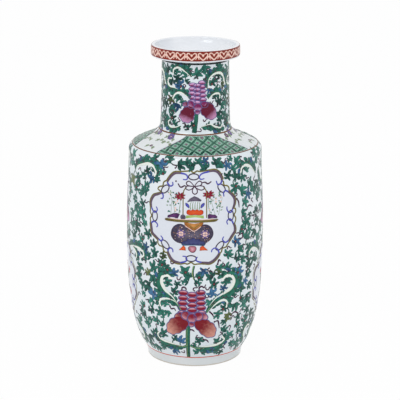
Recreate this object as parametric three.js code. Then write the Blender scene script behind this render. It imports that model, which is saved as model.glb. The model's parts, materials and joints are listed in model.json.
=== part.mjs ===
// Chinese porcelain vase of rouleau form, enamelled in the green palette.
// The body is thrown in sections that are luted together with slip, glazed,
// and painted with enamels that stand a little proud of the glaze.
// Millimetres, +Z up. The origin is the centre of the foot, on the ground.

import * as THREE from "three";

// Driving dimensions of the foot
const footHeight = 13.4;
const footBottomRadius = 67.4;
const footRecessRadius = 58.6;
const footBevel = 1.2;
const baseUnderside = 7.6;
const baseThickness = 6.6;
const baseSeatWidth = 3.2;
const baseClearance = 0.3;
const basePuddle = 1.6;

// Driving dimensions of the body
const bodyFootRadius = 69.4;
const bodyFlare = 34.8;
const bodyFlareReach = 45;
const lowerBodyHeight = 161.6;
const girthRadius = 96.5;
const girthReachDown = 49;
const upperBodyHeight = 128.2;
const shoulderTaper = 3.5;
const girthReachUp = 62;
const shoulderReachDown = 34;

// Driving dimensions of the shoulder and the neck
const shoulderHeight = 30.6;
const shoulderRound = 14.2;
const shoulderSlope = 64;
const shoulderSlopeReach = 16.3;
const neckBaseRadius = 50;
const collarHeight = 8.2;
const neckHeight = 98.2;
const neckTaper = 3.7;
const neckFlareReach = 6.3;
const neckStraightReach = 56;
const neckLean = 1.1;
const wallThickness = 5.4;
const lutingThickness = 0.8;
const lutingSqueeze = 1.1;

// Driving dimensions of the dished mouth
const rimUndersideRise = 2.2;
const lipHeight = 15.8;
const lipLowerRadius = 61.6;
const lipUpperRadius = 61.2;
const lipThickness = 5.2;
const lipRound = 1.6;
const ledgeRound = 2.2;
const dishDepth = 17.2;
const dishRound = 9.5;
const dishLipDraft = 1;
const dishFloorRise = 3;

// Driving dimensions of the enamel that stands proud of the glaze
const enamelClearance = 0.12;
const enamelThickness = 0.35;
const lineWidth = 1.6;
const neckTopLineDrop = 2.6;
const neckBaseLineWidth = 1.8;
const shoulderLineRise = 7.9;
const footLineRise = 1.5;
const frameWidth = 2.6;
const medallionAzimuth = -2;
const medallionHeight = 227;
const medallionHalfWidth = 62.5;
const medallionHalfHeight = 66.5;
const medallionLobes = 8;
const medallionScallopDepth = 2.4;
const panelHeight = 117;
const panelHalfWidth = 48;
const panelHalfHeight = 52;
const panelLobes = 8;
const panelScallopDepth = 2;

// How finely the round forms are cut
const facets = 48;
const frameSteps = 64;
const wallCuts = 11;
const shoulderCuts = 9;
const neckCuts = 8;
const leastCut = 0.7;

// Heights of the seams and the radii of the shoulder and the neck's top, which follow from the sizes
const shoulderRadius = girthRadius - shoulderTaper;
const neckTopRadius = neckBaseRadius - neckTaper;
const waistSeam = footHeight + lowerBodyHeight;
const shoulderSeam = waistSeam + upperBodyHeight;
const neckBase = shoulderSeam + shoulderHeight;
const neckSeam = neckBase + collarHeight;
const rimSeam = neckSeam + neckHeight - collarHeight;
const ledge = rimSeam + rimUndersideRise;
const lipTop = ledge + lipHeight;

const porcelain = new THREE.MeshStandardMaterial({ color: 0xe9eeec, roughness: 0.22, metalness: 0 });
const biscuit = new THREE.MeshStandardMaterial({ color: 0xe4ddd0, roughness: 0.78, metalness: 0 });
const slip = new THREE.MeshStandardMaterial({ color: 0xdcd8cf, roughness: 0.6, metalness: 0 });
const ironRed = new THREE.MeshStandardMaterial({ color: 0xa5301c, roughness: 0.35, metalness: 0 });
const olive = new THREE.MeshStandardMaterial({ color: 0x6e5b2a, roughness: 0.3, metalness: 0 });
const inkLine = new THREE.MeshStandardMaterial({ color: 0x22302c, roughness: 0.3, metalness: 0 });
const aubergine = new THREE.MeshStandardMaterial({ color: 0x574a5c, roughness: 0.3, metalness: 0 });

const vase = new THREE.Group();

const point = (radius, height) => new THREE.Vector2(radius, height);

// The outer wall as four curves of radius against height, from the foot up
const flare = THREE.MathUtils.degToRad(bodyFlare);
const slope = THREE.MathUtils.degToRad(shoulderSlope);
const flareOut = bodyFlareReach * Math.sin(flare);
const flareUp = bodyFlareReach * Math.cos(flare);
const slopeOut = shoulderSlopeReach * Math.cos(slope);
const slopeDown = shoulderSlopeReach * Math.sin(slope);
const lowerWall = new THREE.CubicBezierCurve(
  point(bodyFootRadius, footHeight),
  point(bodyFootRadius + flareOut, footHeight + flareUp),
  point(girthRadius, waistSeam - girthReachDown),
  point(girthRadius, waistSeam),
);
const upperWall = new THREE.CubicBezierCurve(
  point(girthRadius, waistSeam),
  point(girthRadius, waistSeam + girthReachUp),
  point(shoulderRadius, shoulderSeam - shoulderReachDown),
  point(shoulderRadius, shoulderSeam),
);
const shoulderWall = new THREE.CubicBezierCurve(
  point(shoulderRadius, shoulderSeam),
  point(shoulderRadius, shoulderSeam + shoulderRound),
  point(neckBaseRadius + slopeOut, neckBase - slopeDown),
  point(neckBaseRadius, neckBase),
);
const neckWall = new THREE.CubicBezierCurve(
  point(neckBaseRadius, neckBase),
  point(neckBaseRadius - neckFlareReach * Math.cos(slope), neckBase + neckFlareReach * Math.sin(slope)),
  point(neckTopRadius + neckLean, rimSeam - neckStraightReach),
  point(neckTopRadius, rimSeam),
);
const outerWall = [lowerWall, upperWall, shoulderWall, neckWall];

// A point of a wall curve, moved out along the wall's normal, or in if the distance is negative
function offWall(curve, t, distance) {
  const tangent = curve.getTangent(t);
  return curve.getPoint(t).add(point(tangent.y, -tangent.x).multiplyScalar(distance));
}

// The share of the way along a wall curve at which it reaches a height
function shareAt(curve, height) {
  let low = 0;
  let high = 1;
  for (let step = 0; step < 40; step++) {
    const middle = (low + high) / 2;
    if (curve.getPoint(middle).y < height) low = middle;
    else high = middle;
  }
  return (low + high) / 2;
}

// The curve of the outer wall that holds a height
const curveAt = (height) => outerWall.find((curve) => curve.getPoint(1).y >= height) ?? neckWall;

// The outer wall's radius at a height
function outerRadius(height) {
  const curve = curveAt(height);
  return curve.getPoint(shareAt(curve, height)).x;
}

// The inner wall is the outer one moved in by the wall's thickness
const innerSamples = 60;
const innerWall = outerWall.flatMap((curve) =>
  Array.from({ length: innerSamples + 1 }, (_, i) => offWall(curve, i / innerSamples, -wallThickness)),
);

// The inner wall's radius at a height
function innerRadius(height) {
  const above = innerWall.findIndex((p) => p.y >= height);
  if (above < 1) return innerWall.at(above).x;
  const [low, high] = [innerWall[above - 1], innerWall[above]];
  const share = (height - low.y) / (high.y - low.y);
  return low.x + share * (high.x - low.x);
}

// Names a solid and places it in the vase
function add(name, geometry, material) {
  const mesh = new THREE.Mesh(geometry, material);
  mesh.name = name;
  vase.add(mesh);
}

// Turns a closed outline of radius and height, listed with the outer side going up, about the axis
function turn(name, outline, material) {
  const profile = [...outline, outline[0]].map((p) => point(p.x, p.y));
  add(name, new THREE.LatheGeometry(profile, facets).rotateX(Math.PI / 2), material);
}

// The painted lines that run right round the wall, each on its own curve
const paintedLines = [
  ["neck_top_line", neckWall, rimSeam - neckTopLineDrop, lineWidth, inkLine],
  ["neck_base_line", shoulderWall, neckBase - neckBaseLineWidth, neckBaseLineWidth, olive],
  ["shoulder_line", shoulderWall, shoulderSeam + shoulderLineRise, lineWidth, olive],
  ["foot_line", lowerWall, footHeight + footLineRise, lineWidth, ironRed],
];

// The shares of a curve at which a line of a width starts and ends
function lineShares(curve, height, width) {
  const reach = (width / 2) * curve.getTangent(shareAt(curve, height)).y;
  return [height - reach, height + reach].map((edge) => shareAt(curve, edge));
}

// The heights at which a section's wall is cut between its two seams, the edges of its lines included
function stations(curves, from, to) {
  const cuts = curves.flatMap(([curve, count]) =>
    Array.from({ length: count + 1 }, (_, i) => curve.getPoint(i / count).y),
  );
  const edges = paintedLines.flatMap(([, curve, height, width]) =>
    lineShares(curve, height, width).map((t) => curve.getPoint(t).y),
  );
  const clear = cuts.filter((cut) => edges.every((edge) => Math.abs(edge - cut) > leastCut));
  const inside = [...clear, ...edges].filter((cut) => cut > from + leastCut && cut < to - leastCut);
  return [from, ...inside.sort((a, b) => a - b), to];
}

// One thrown section of the wall, cut square at the seam below and the seam above
function section(name, curves, lowSeam, highSeam) {
  const from = lowSeam + lutingThickness / 2;
  const to = highSeam - lutingThickness / 2;
  const heights = stations(curves, from, to);
  const outside = heights.map((height) => point(outerRadius(height), height));
  const inside = heights.map((height) => point(innerRadius(height), height)).reverse();
  turn(name, [...outside, ...inside], porcelain);
}

// The slip that lutes two sections together, squeezed out a little on the inside
function luting(name, seam) {
  const low = seam - lutingThickness / 2;
  const high = seam + lutingThickness / 2;
  const inner = innerRadius(seam) - lutingSqueeze;
  const outside = [point(outerRadius(low), low), point(outerRadius(high), high)];
  turn(name, [...outside, point(inner, high), point(inner, low)], slip);
}

// A ring of enamel that follows the wall along a painted line
function enamelRing(name, curve, height, width, material) {
  const shares = lineShares(curve, height, width);
  const proud = shares.map((t) => offWall(curve, t, enamelClearance + enamelThickness));
  const seated = shares.map((t) => offWall(curve, t, enamelClearance)).reverse();
  turn(name, [...proud, ...seated], material);
}

// Foot: a turned ring with a ledge inside that carries the base
const footTop = footHeight - lutingThickness / 2;
const baseSeatRadius = footRecessRadius + baseSeatWidth;
turn(
  "foot_ring",
  [
    point(footBottomRadius - footBevel, 0),
    point(footBottomRadius, footBevel),
    point(outerRadius(footHeight), footTop),
    point(baseSeatRadius, footTop),
    point(baseSeatRadius, baseUnderside),
    point(footRecessRadius, baseUnderside),
    point(footRecessRadius, footBevel),
    point(footRecessRadius + footBevel, 0),
  ],
  biscuit,
);
const baseRadius = baseSeatRadius - baseClearance;
const baseTop = baseUnderside + baseThickness;
turn(
  "base_disc",
  [point(0, baseUnderside), point(baseRadius, baseUnderside), point(baseRadius, baseTop), point(0, baseTop)],
  porcelain,
);

// Lower body: the flaring wall, thick at the foot where it closes on the base
const lowerFrom = footHeight + lutingThickness / 2;
const lowerTo = waistSeam - lutingThickness / 2;
const floorHeight = baseTop + basePuddle + baseClearance;
const lowerHeights = stations([[lowerWall, wallCuts]], lowerFrom, lowerTo);
const lowerInside = stations([[lowerWall, wallCuts]], floorHeight, lowerTo).reverse();
turn(
  "lower_body",
  [
    ...lowerHeights.map((height) => point(outerRadius(height), height)),
    ...lowerInside.map((height) => point(innerRadius(height), height)),
    point(baseSeatRadius, floorHeight),
    point(baseSeatRadius, lowerFrom),
  ],
  porcelain,
);

// Slip that seals the edge of the base to the foot and the wall around it
turn(
  "base_luting",
  [
    point(baseRadius, baseTop),
    point(baseRadius, baseTop + basePuddle),
    point(baseRadius - basePuddle, baseTop),
  ],
  slip,
);

section("upper_body", [[upperWall, wallCuts]], waistSeam, shoulderSeam);
section("shoulder", [[shoulderWall, shoulderCuts], [neckWall, neckCuts]], shoulderSeam, neckSeam);
section("neck", [[neckWall, neckCuts]], neckSeam, rimSeam);

const footSlipLow = footHeight - lutingThickness / 2;
const footSlipHigh = footHeight + lutingThickness / 2;
turn(
  "foot_luting",
  [
    point(outerRadius(footHeight), footSlipLow),
    point(outerRadius(footSlipHigh), footSlipHigh),
    point(baseSeatRadius, footSlipHigh),
    point(baseSeatRadius, footSlipLow),
  ],
  slip,
);
luting("waist_luting", waistSeam);
luting("shoulder_luting", shoulderSeam);
luting("neck_luting", neckSeam);
luting("mouth_luting", rimSeam);

// Mouth: a dish on top of the neck, with an upright lip around it
function arc(centre, radius, fromDegrees, toDegrees, steps) {
  return Array.from({ length: steps + 1 }, (_, i) => {
    const angle = THREE.MathUtils.degToRad(fromDegrees + ((toDegrees - fromDegrees) * i) / steps);
    return point(centre.x + radius * Math.cos(angle), centre.y + radius * Math.sin(angle));
  });
}
const mouthFrom = rimSeam + lutingThickness / 2;
const throatRadius = innerRadius(rimSeam);
const lipInnerRadius = lipUpperRadius - lipThickness;
const dishWall = new THREE.CubicBezierCurve(
  point(lipInnerRadius, lipTop - lipRound),
  point(lipInnerRadius - dishLipDraft, lipTop - dishRound),
  point(throatRadius + dishRound, lipTop - dishDepth + dishFloorRise),
  point(throatRadius, mouthFrom),
);
const dishSteps = 6;
turn(
  "mouth_rim",
  [
    point(neckTopRadius, mouthFrom),
    point(neckTopRadius, ledge),
    ...arc(point(lipLowerRadius - ledgeRound, ledge + ledgeRound), ledgeRound, -90, 0, 3),
    ...arc(point(lipUpperRadius - lipRound, lipTop - lipRound), lipRound, 0, 90, 3),
    ...arc(point(lipInnerRadius + lipRound, lipTop - lipRound), lipRound, 90, 180, 3),
    ...dishWall.getPoints(dishSteps).slice(1),
  ],
  porcelain,
);

// Painted bands and lines that run right round the vase
const rimBandFrom = ledge + ledgeRound;
const rimBandTo = lipTop - lipRound;
turn(
  "rim_band",
  [
    point(lipLowerRadius + enamelClearance + enamelThickness, rimBandFrom),
    point(lipUpperRadius + enamelClearance + enamelThickness, rimBandTo),
    point(lipUpperRadius + enamelClearance, rimBandTo),
    point(lipLowerRadius + enamelClearance, rimBandFrom),
  ],
  ironRed,
);
for (const line of paintedLines) enamelRing(...line);

// The outline of a lobed panel at a share of the way round it, as offsets sideways and up
function lobedOutline(share, halfWidth, halfHeight, lobes, scallop) {
  const angle = share * 2 * Math.PI;
  const dip = scallop * (1 - Math.abs(Math.cos((lobes * angle) / 2)));
  return point((halfWidth - dip) * Math.sin(angle), (halfHeight - dip) * Math.cos(angle));
}

// A band of enamel that frames a lobed panel on the body
function panelFrame(name, azimuth, height, halfWidth, halfHeight, lobes, scallop, material) {
  const positions = [];
  const middle = THREE.MathUtils.degToRad(azimuth);
  const place = (x, y, proud) => {
    const radius = outerRadius(height + y) + proud;
    const angle = middle + x / outerRadius(height);
    positions.push(radius * Math.sin(angle), -radius * Math.cos(angle), height + y);
  };
  for (let step = 0; step < frameSteps; step++) {
    const share = step / frameSteps;
    const outer = lobedOutline(share, halfWidth, halfHeight, lobes, scallop);
    const inner = outer.clone().setLength(outer.length() - frameWidth);
    place(outer.x, outer.y, enamelClearance);
    place(outer.x, outer.y, enamelClearance + enamelThickness);
    place(inner.x, inner.y, enamelClearance + enamelThickness);
    place(inner.x, inner.y, enamelClearance);
  }
  const corners = 4;
  const faces = [];
  for (let step = 0; step < frameSteps; step++) {
    const here = step * corners;
    const next = ((step + 1) % frameSteps) * corners;
    for (let side = 0; side < corners; side++) {
      const beside = (side + 1) % corners;
      faces.push(here + side, here + beside, next + side);
      faces.push(next + side, here + beside, next + beside);
    }
  }
  const geometry = new THREE.BufferGeometry();
  geometry.setAttribute("position", new THREE.Float32BufferAttribute(positions, 3));
  geometry.setIndex(faces);
  geometry.computeVertexNormals();
  add(name, geometry, material);
}

const quarterTurn = 90;
for (const [name, turned] of [["front_medallion_frame", 0], ["back_medallion_frame", 2]]) {
  const azimuth = medallionAzimuth + turned * quarterTurn;
  const size = [medallionHalfWidth, medallionHalfHeight, medallionLobes, medallionScallopDepth];
  panelFrame(name, azimuth, medallionHeight, ...size, aubergine);
}
for (const [name, turned] of [["right_panel_frame", 1], ["left_panel_frame", -1]]) {
  const azimuth = turned * quarterTurn;
  const size = [panelHalfWidth, panelHalfHeight, panelLobes, panelScallopDepth];
  panelFrame(name, azimuth, panelHeight, ...size, aubergine);
}

export default vase;
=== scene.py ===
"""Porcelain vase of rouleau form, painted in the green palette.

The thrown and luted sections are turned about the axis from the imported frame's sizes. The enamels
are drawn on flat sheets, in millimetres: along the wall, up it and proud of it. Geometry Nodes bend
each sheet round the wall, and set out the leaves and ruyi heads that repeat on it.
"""

from __future__ import annotations

import json
import logging
import math
from dataclasses import dataclass, field
from enum import Enum
from typing import Any, Callable, Iterable, Sequence

import bpy
import numpy as np
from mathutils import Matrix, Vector

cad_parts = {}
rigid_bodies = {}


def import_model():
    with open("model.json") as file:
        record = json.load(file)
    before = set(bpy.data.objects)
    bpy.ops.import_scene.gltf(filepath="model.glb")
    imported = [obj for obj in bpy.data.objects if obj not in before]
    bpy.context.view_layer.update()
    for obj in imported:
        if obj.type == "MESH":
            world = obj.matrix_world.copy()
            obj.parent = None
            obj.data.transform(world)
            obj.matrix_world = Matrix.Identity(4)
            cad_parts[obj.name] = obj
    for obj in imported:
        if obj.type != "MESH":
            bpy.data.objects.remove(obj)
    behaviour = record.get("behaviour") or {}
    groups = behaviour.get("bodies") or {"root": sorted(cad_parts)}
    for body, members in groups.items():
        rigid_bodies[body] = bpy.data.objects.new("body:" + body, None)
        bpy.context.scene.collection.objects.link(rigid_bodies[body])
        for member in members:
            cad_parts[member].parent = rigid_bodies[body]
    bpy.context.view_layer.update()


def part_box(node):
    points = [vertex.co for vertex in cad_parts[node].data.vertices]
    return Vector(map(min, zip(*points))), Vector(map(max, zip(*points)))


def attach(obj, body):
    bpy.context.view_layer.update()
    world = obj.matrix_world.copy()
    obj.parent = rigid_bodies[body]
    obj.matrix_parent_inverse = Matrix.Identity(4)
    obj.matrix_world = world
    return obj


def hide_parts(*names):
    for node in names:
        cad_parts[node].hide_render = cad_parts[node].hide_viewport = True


MM = 0.001
TURN = 2 * math.pi
ROOT_BODY = "root"

Array = np.ndarray
Point = tuple[float, float]
Lobes = Sequence[tuple[Sequence[Point], float]]
Colour = tuple[float, float, float]

log = logging.getLogger("vase")


def linear(screen: Colour) -> Colour:
    """Turns a screen colour of 0 to 255 into the linear values that a shader takes."""
    shares = (channel / 255 for channel in screen)
    return tuple(s / 12.92 if s <= 0.04045 else ((s + 0.055) / 1.055) ** 2.4 for s in shares)


class Wire:
    """A socket of a node tree that takes part in sums."""

    def __init__(self, board: Board, socket: bpy.types.NodeSocket) -> None:
        """Keeps the socket and the board that its tree is on."""
        self.board = board
        self.socket = socket

    def through(self, operation: str, second: Any = 0.0) -> Wire:
        """Self after a Math node, with the second value that it may need."""
        return self.board.math(operation, self, second)

    def __add__(self, other: Any) -> Wire:
        """Self plus other."""
        return self.through("ADD", other)

    def __sub__(self, other: Any) -> Wire:
        """Self less other."""
        return self.through("SUBTRACT", other)

    def __rsub__(self, other: Any) -> Wire:
        """Other less self."""
        return self.board.math("SUBTRACT", other, self)

    def __mul__(self, other: Any) -> Wire:
        """Self times other."""
        return self.through("MULTIPLY", other)

    def __truediv__(self, other: Any) -> Wire:
        """Self over other."""
        return self.through("DIVIDE", other)

    __radd__ = __add__
    __rmul__ = __mul__


@dataclass
class Outlets:
    """The output sockets of one node, as wires."""

    board: Board
    node: bpy.types.Node

    def __getitem__(self, name: str | int) -> Wire:
        """The output socket of a name or place."""
        return Wire(self.board, self.node.outputs[name])


class Board:
    """Adds nodes and links to one node tree."""

    def __init__(self, tree: bpy.types.NodeTree) -> None:
        """Keeps the tree."""
        self.tree = tree

    def node(self, kind: str, values: dict[str | int, Any] | None = None, **settings: Any) -> Outlets:
        """Adds a node.

        Args:
            kind: The node's type.
            values: A plain value or a wire for each input socket, by its name or place.
            settings: What is set on the node itself, before its sockets.

        Returns:
            The node's output sockets.
        """
        node = self.tree.nodes.new(kind)
        for name, setting in settings.items():
            setattr(node, name, setting)
        for name, value in (values or {}).items():
            socket = node.inputs[name]
            if isinstance(value, Wire):
                self.tree.links.new(value.socket, socket)
            else:
                socket.default_value = value
        return Outlets(self, node)

    def math(self, operation: str, first: Any, second: Any) -> Wire:
        """Adds a Math node of an operation on two values."""
        return self.node("ShaderNodeMath", {0: first, 1: second}, operation=operation)[0]

    def split(self, vector: Wire) -> Outlets:
        """The X, Y and Z of a vector."""
        return self.node("ShaderNodeSeparateXYZ", {0: vector})

    def join(self, x: Any, y: Any, z: Any) -> Wire:
        """The vector of three values."""
        return self.node("ShaderNodeCombineXYZ", {0: x, 1: y, 2: z})[0]

    def polar(self, radius: Wire, angle: Wire, height: Wire) -> Wire:
        """The place at a radius, an angle from the front and a height."""
        return self.join(radius * angle.through("SINE"), radius * angle.through("COSINE") * -1.0, height)

    def ramp(self, factor: Wire, low: float, high: float) -> Wire:
        """Where a factor lies between two limits, from nought to one."""
        return self.node("ShaderNodeMapRange", {0: factor, 1: low, 2: high}, clamp=True)["Result"]

    def blend(self, factor: Any, first: Any, second: Any) -> Wire:
        """Mixes two colours, each a wire or a screen colour, by the share of the second."""
        colours = [c if isinstance(c, Wire) else (*linear(c), 1.0) for c in (first, second)]
        values = {0: factor, 6: colours[0], 7: colours[1]}
        return self.node("ShaderNodeMix", values, data_type="RGBA", blend_type="MIX", clamp_factor=True)[2]

    def noise(self, scale: float, detail: float = 2.0, roughness: float = 0.5, offset: float = 0.0) -> Wire:
        """Adds noise on the piece's own coordinates.

        Args:
            scale: Bumps per metre.
            detail: How many finer layers it has.
            roughness: How strong the finer layers are.
            offset: How far the pattern is moved.

        Returns:
            The noise, from nought to one.
        """
        place = self.node("ShaderNodeTexCoord")["Object"]
        moved = self.node("ShaderNodeMapping", {0: place, 1: (offset,) * 3}, vector_type="POINT")[0]
        values = {"Vector": moved, "Scale": scale, "Detail": detail, "Roughness": roughness}
        return self.node("ShaderNodeTexNoise", values, noise_dimensions="3D")[0]


def shown(name: str, data: bpy.types.ID) -> bpy.types.Object:
    """Adds an object to the scene."""
    item = bpy.data.objects.new(name, data)
    bpy.context.scene.collection.objects.link(item)
    return item


class Slot(Enum):
    """The record's material slots."""

    GLAZE = "glazed_porcelain"
    BISCUIT = "unglazed_porcelain"
    SLIP = "luting_slip"
    IRON_RED = "iron_red_enamel"
    GOLD_BROWN = "gold_brown_enamel"
    INK = "ink_enamel"
    AUBERGINE = "aubergine_enamel"
    GREEN = "green_enamel"
    BLUE = "blue_enamel"
    RUBY = "ruby_enamel"
    CREAM = "cream_enamel"


def new_material(name: str) -> tuple[bpy.types.Material, Board]:
    """Makes an empty material.

    Args:
        name: The material's name.

    Returns:
        The material and the board of its tree.
    """
    material = bpy.data.materials.new(name)
    material.use_nodes = True
    material.node_tree.nodes.clear()
    return material, Board(material.node_tree)


def close_material(board: Board, relief: Wire, strength: float, depth: float,
                   settings: dict[str, Any]) -> None:
    """Ends a material in a Bump node and one Principled shader.

    Args:
        board: The material's board.
        relief: The bumps' height.
        strength: The bumps' strength.
        depth: The bumps' depth in metres.
        settings: The shader's other values and wires.
    """
    bump = board.node("ShaderNodeBump", {"Strength": strength, "Distance": depth, "Height": relief})
    shader = board.node("ShaderNodeBsdfPrincipled", {**settings, "Normal": bump[0]})
    board.node("ShaderNodeOutputMaterial", {"Surface": shader[0]})


@dataclass(frozen=True)
class Glaze:
    """Clear glaze over white porcelain, faintly blue where it is thick."""

    name: str
    colour: Colour
    pool: Colour
    bare_below: float = -1.0
    bare: Colour = (216, 211, 202)
    slot: Slot = Slot.GLAZE

    def material(self) -> bpy.types.Material:
        """Builds the glaze, with kiln specks, and bare body under a height."""
        material, board = new_material(self.name)
        cloud = board.ramp(board.noise(16.0, 3.0), 0.38, 0.66)
        speck = board.ramp(board.noise(520.0, 1.0, offset=3.1), 0.79, 0.83)
        wave, peel = board.noise(38.0, offset=1.7), board.noise(420.0, offset=5.0)
        grain = board.noise(1500.0, 3.0, offset=7.0)
        height = board.split(board.node("ShaderNodeTexCoord")["Object"])["Z"]
        edge = height + (board.noise(70.0, offset=9.0) - 0.5) * 0.0012
        glazed = board.ramp(edge, self.bare_below - 0.0002, self.bare_below + 0.0002)
        body = board.blend(speck * 0.3, board.blend(cloud, self.colour, self.pool), (150, 132, 104))
        stained = board.blend(board.ramp(grain, 0.35, 0.75), self.bare, (192, 182, 166))
        heights = {0: glazed, 2: grain * 0.6, 3: wave * 0.9 + peel * 0.1}
        relief = board.node("ShaderNodeMix", heights, data_type="FLOAT")[0]
        close_material(board, relief, 0.06, 0.0008, {
            "Base Color": board.blend(glazed, stained, body),
            "Roughness": 0.7 - glazed * 0.58 + peel * 0.05,
            "IOR": 1.5,
        })
        return material


@dataclass(frozen=True)
class Enamel:
    """Coloured glass laid over the glaze: deep where it pools, pale where it is thin."""

    name: str
    deep: Colour
    pale: Colour
    slot: Slot
    mottle: float = 0.35
    shine: float = 0.22

    def material(self) -> bpy.types.Material:
        """Builds the enamel: its tone follows the drawing, with brush mottling over it."""
        material, board = new_material(self.name)
        tone, tint = (board.node("ShaderNodeAttribute", attribute_name=name)["Fac"]
                      for name in ("tone", "tint"))
        brush = board.ramp(board.noise(230.0, 3.0, 0.6), 0.3, 0.7) - 0.5
        pool = board.noise(900.0, offset=2.3)
        close_material(board, pool, 0.12, 0.0004, {
            "Base Color": board.blend(tone + tint + brush * self.mottle, self.deep, self.pale),
            "Roughness": 0.14 + pool * 0.14,
            "IOR": 1.52,
            "Specular IOR Level": self.shine,
        })
        return material


@dataclass(frozen=True)
class Slip:
    """Luting slip smeared under the glaze inside the vase."""

    name: str = "luting_slip"
    slot: Slot = Slot.SLIP

    def material(self) -> bpy.types.Material:
        """Builds the slip, rougher and warmer than the glaze around it."""
        material, board = new_material(self.name)
        smear = board.noise(110.0, 4.0, 0.6)
        close_material(board, smear, 0.3, 0.001, {
            "Base Color": board.blend(smear, (228, 228, 222), (205, 203, 194)),
            "Roughness": 0.3 + smear * 0.3,
        })
        return material


class Finish(Enum):
    """Every finish on the vase."""

    WHITE = Glaze("white_glaze", (232, 238, 241), (222, 231, 235))
    # The inside glaze is the same clear glaze, written paler than the body's: painted light that brightens
    # the shaded dish of the mouth and the floor.
    INSIDE = Glaze("inner_glaze", (246, 247, 249), (236, 239, 244))
    FOOT = Glaze("foot_glaze", (225, 228, 228), (217, 222, 223), bare_below=0.0022)
    SLIP = Slip()
    GREEN = Enamel("leaf_green", (0, 50, 46), (52, 134, 116), Slot.GREEN, mottle=0.7)
    VINE = Enamel("vine_green", (0, 66, 54), (44, 132, 106), Slot.GREEN, mottle=0.5)
    OLIVE_LEAF = Enamel("olive_green", (32, 60, 34), (112, 124, 74), Slot.GREEN, mottle=0.6)
    TEAL = Enamel("teal_blue", (6, 50, 84), (70, 122, 164), Slot.BLUE, mottle=0.7)
    INK = Enamel("ink_outline", (10, 26, 28), (36, 48, 52), Slot.INK, mottle=0.5)
    SQUIGGLE = Enamel("aubergine_ink", (46, 20, 40), (84, 40, 70), Slot.AUBERGINE)
    CREAM = Enamel("cream_hook", (222, 234, 224), (243, 244, 236), Slot.CREAM, mottle=0.2)
    HOOK_EDGE = Enamel("brown_outline", (92, 66, 40), (146, 120, 78), Slot.GOLD_BROWN, mottle=0.5)
    IRON_RED = Enamel("iron_red", (126, 34, 20), (204, 80, 48), Slot.IRON_RED, mottle=0.7)
    RESERVE = Enamel("pale_reserve", (238, 184, 164), (250, 224, 210), Slot.CREAM, mottle=0.5)
    GOLD = Enamel("gold_brown", (108, 62, 18), (170, 118, 52), Slot.GOLD_BROWN, mottle=0.6)
    OLIVE = Enamel("olive_line", (88, 80, 34), (136, 124, 58), Slot.GOLD_BROWN, mottle=0.5)
    FRAME = Enamel("purple_grey", (74, 58, 78), (116, 98, 114), Slot.AUBERGINE, mottle=0.5)
    LINK = Enamel("dark_purple", (40, 30, 50), (76, 62, 88), Slot.AUBERGINE, mottle=0.4)
    BLUE = Enamel("violet_blue", (54, 58, 156), (98, 102, 196), Slot.BLUE, mottle=0.4)
    LAVENDER = Enamel("lavender_ground", (221, 225, 233), (228, 231, 238), Slot.GLAZE, 0.4, shine=0.5)
    PETAL = Enamel("coral_red", (124, 8, 26), (220, 156, 138), Slot.RUBY, mottle=0.3)
    TIER = Enamel("tier_red", (132, 6, 40), (234, 176, 190), Slot.RUBY, mottle=0.25)
    RUBY = Enamel("ruby_petal", (100, 6, 42), (218, 158, 202), Slot.RUBY, mottle=0.25)
    PINK = Enamel("pink_tier", (120, 20, 82), (226, 180, 222), Slot.RUBY, mottle=0.3)
    VIOLET = Enamel("violet_outline", (70, 56, 110), (122, 106, 158), Slot.BLUE, mottle=0.5)
    PLUM = Enamel("plum", (52, 16, 66), (112, 60, 120), Slot.AUBERGINE, mottle=0.5)
    ORANGE = Enamel("orange_red", (206, 62, 14), (232, 104, 52), Slot.IRON_RED, mottle=0.4)
    OCHRE = Enamel("ochre", (150, 88, 28), (206, 142, 76), Slot.GOLD_BROWN, mottle=0.6)
    SLATE = Enamel("purple_slate", (56, 50, 72), (106, 98, 116), Slot.AUBERGINE, mottle=0.6)
    NAVY = Enamel("navy", (42, 46, 98), (76, 84, 130), Slot.BLUE, mottle=0.5)
    LIME = Enamel("yellow_green", (140, 176, 84), (186, 206, 130), Slot.GREEN, mottle=0.5)
    LATTICE = Enamel("lattice_green", (50, 118, 92), (172, 216, 194), Slot.GREEN, mottle=0.4)
    DEEP_GREEN = Enamel("lattice_ground", (14, 62, 50), (40, 92, 74), Slot.GREEN, mottle=0.5)
    BERRY = Enamel("berry_brown", (74, 18, 32), (152, 88, 84), Slot.IRON_RED, mottle=0.5)
    FIELD = Enamel("shoulder_ground", (227, 232, 233), (239, 241, 240), Slot.GLAZE, 0.6, shine=0.5)
    BLOOM = Enamel("lattice_floret", (96, 72, 92), (176, 150, 166), Slot.AUBERGINE, mottle=0.5)
    SPRIG = Enamel("sage", (112, 142, 118), (164, 182, 152), Slot.GREEN, mottle=0.5)

    def material(self) -> bpy.types.Material:
        """The finish's material, built once."""
        return bpy.data.materials.get(self.value.name) or self.value.material()


def bezier(corners: Sequence[Point], steps: int) -> Array:
    """Points along a cubic curve of four corners.

    Args:
        corners: The curve's start, two handles and end.
        steps: How many parts it is cut into.

    Returns:
        The points, one more than the steps.
    """
    a, b, c, d = (np.array(corner, float) for corner in corners)
    t = np.linspace(0, 1, steps + 1)[:, None]
    return (1 - t) ** 3 * a + 3 * (1 - t) ** 2 * t * b + 3 * (1 - t) * t**2 * c + t**3 * d


def arc(centre: Point, radius: float, start: float, end: float, steps: int) -> Array:
    """Points along part of a circle.

    Args:
        centre: The circle's centre.
        radius: The circle's radius.
        start: The first point's angle, in degrees.
        end: The last point's angle, in degrees.
        steps: How many parts the arc is cut into.

    Returns:
        The points, one more than the steps.
    """
    angles = np.radians(np.linspace(start, end, steps + 1))
    return np.array(centre) + radius * np.column_stack([np.cos(angles), np.sin(angles)])


def ring(radius: float, sides: int) -> Array:
    """The corners of a regular shape about the origin."""
    return arc((0, 0), radius, 0, 360, sides)[:-1]


def ray(angle: float) -> Array:
    """The way that an angle in degrees points."""
    return arc((0, 0), 1.0, angle, angle, 1)[0]


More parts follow.
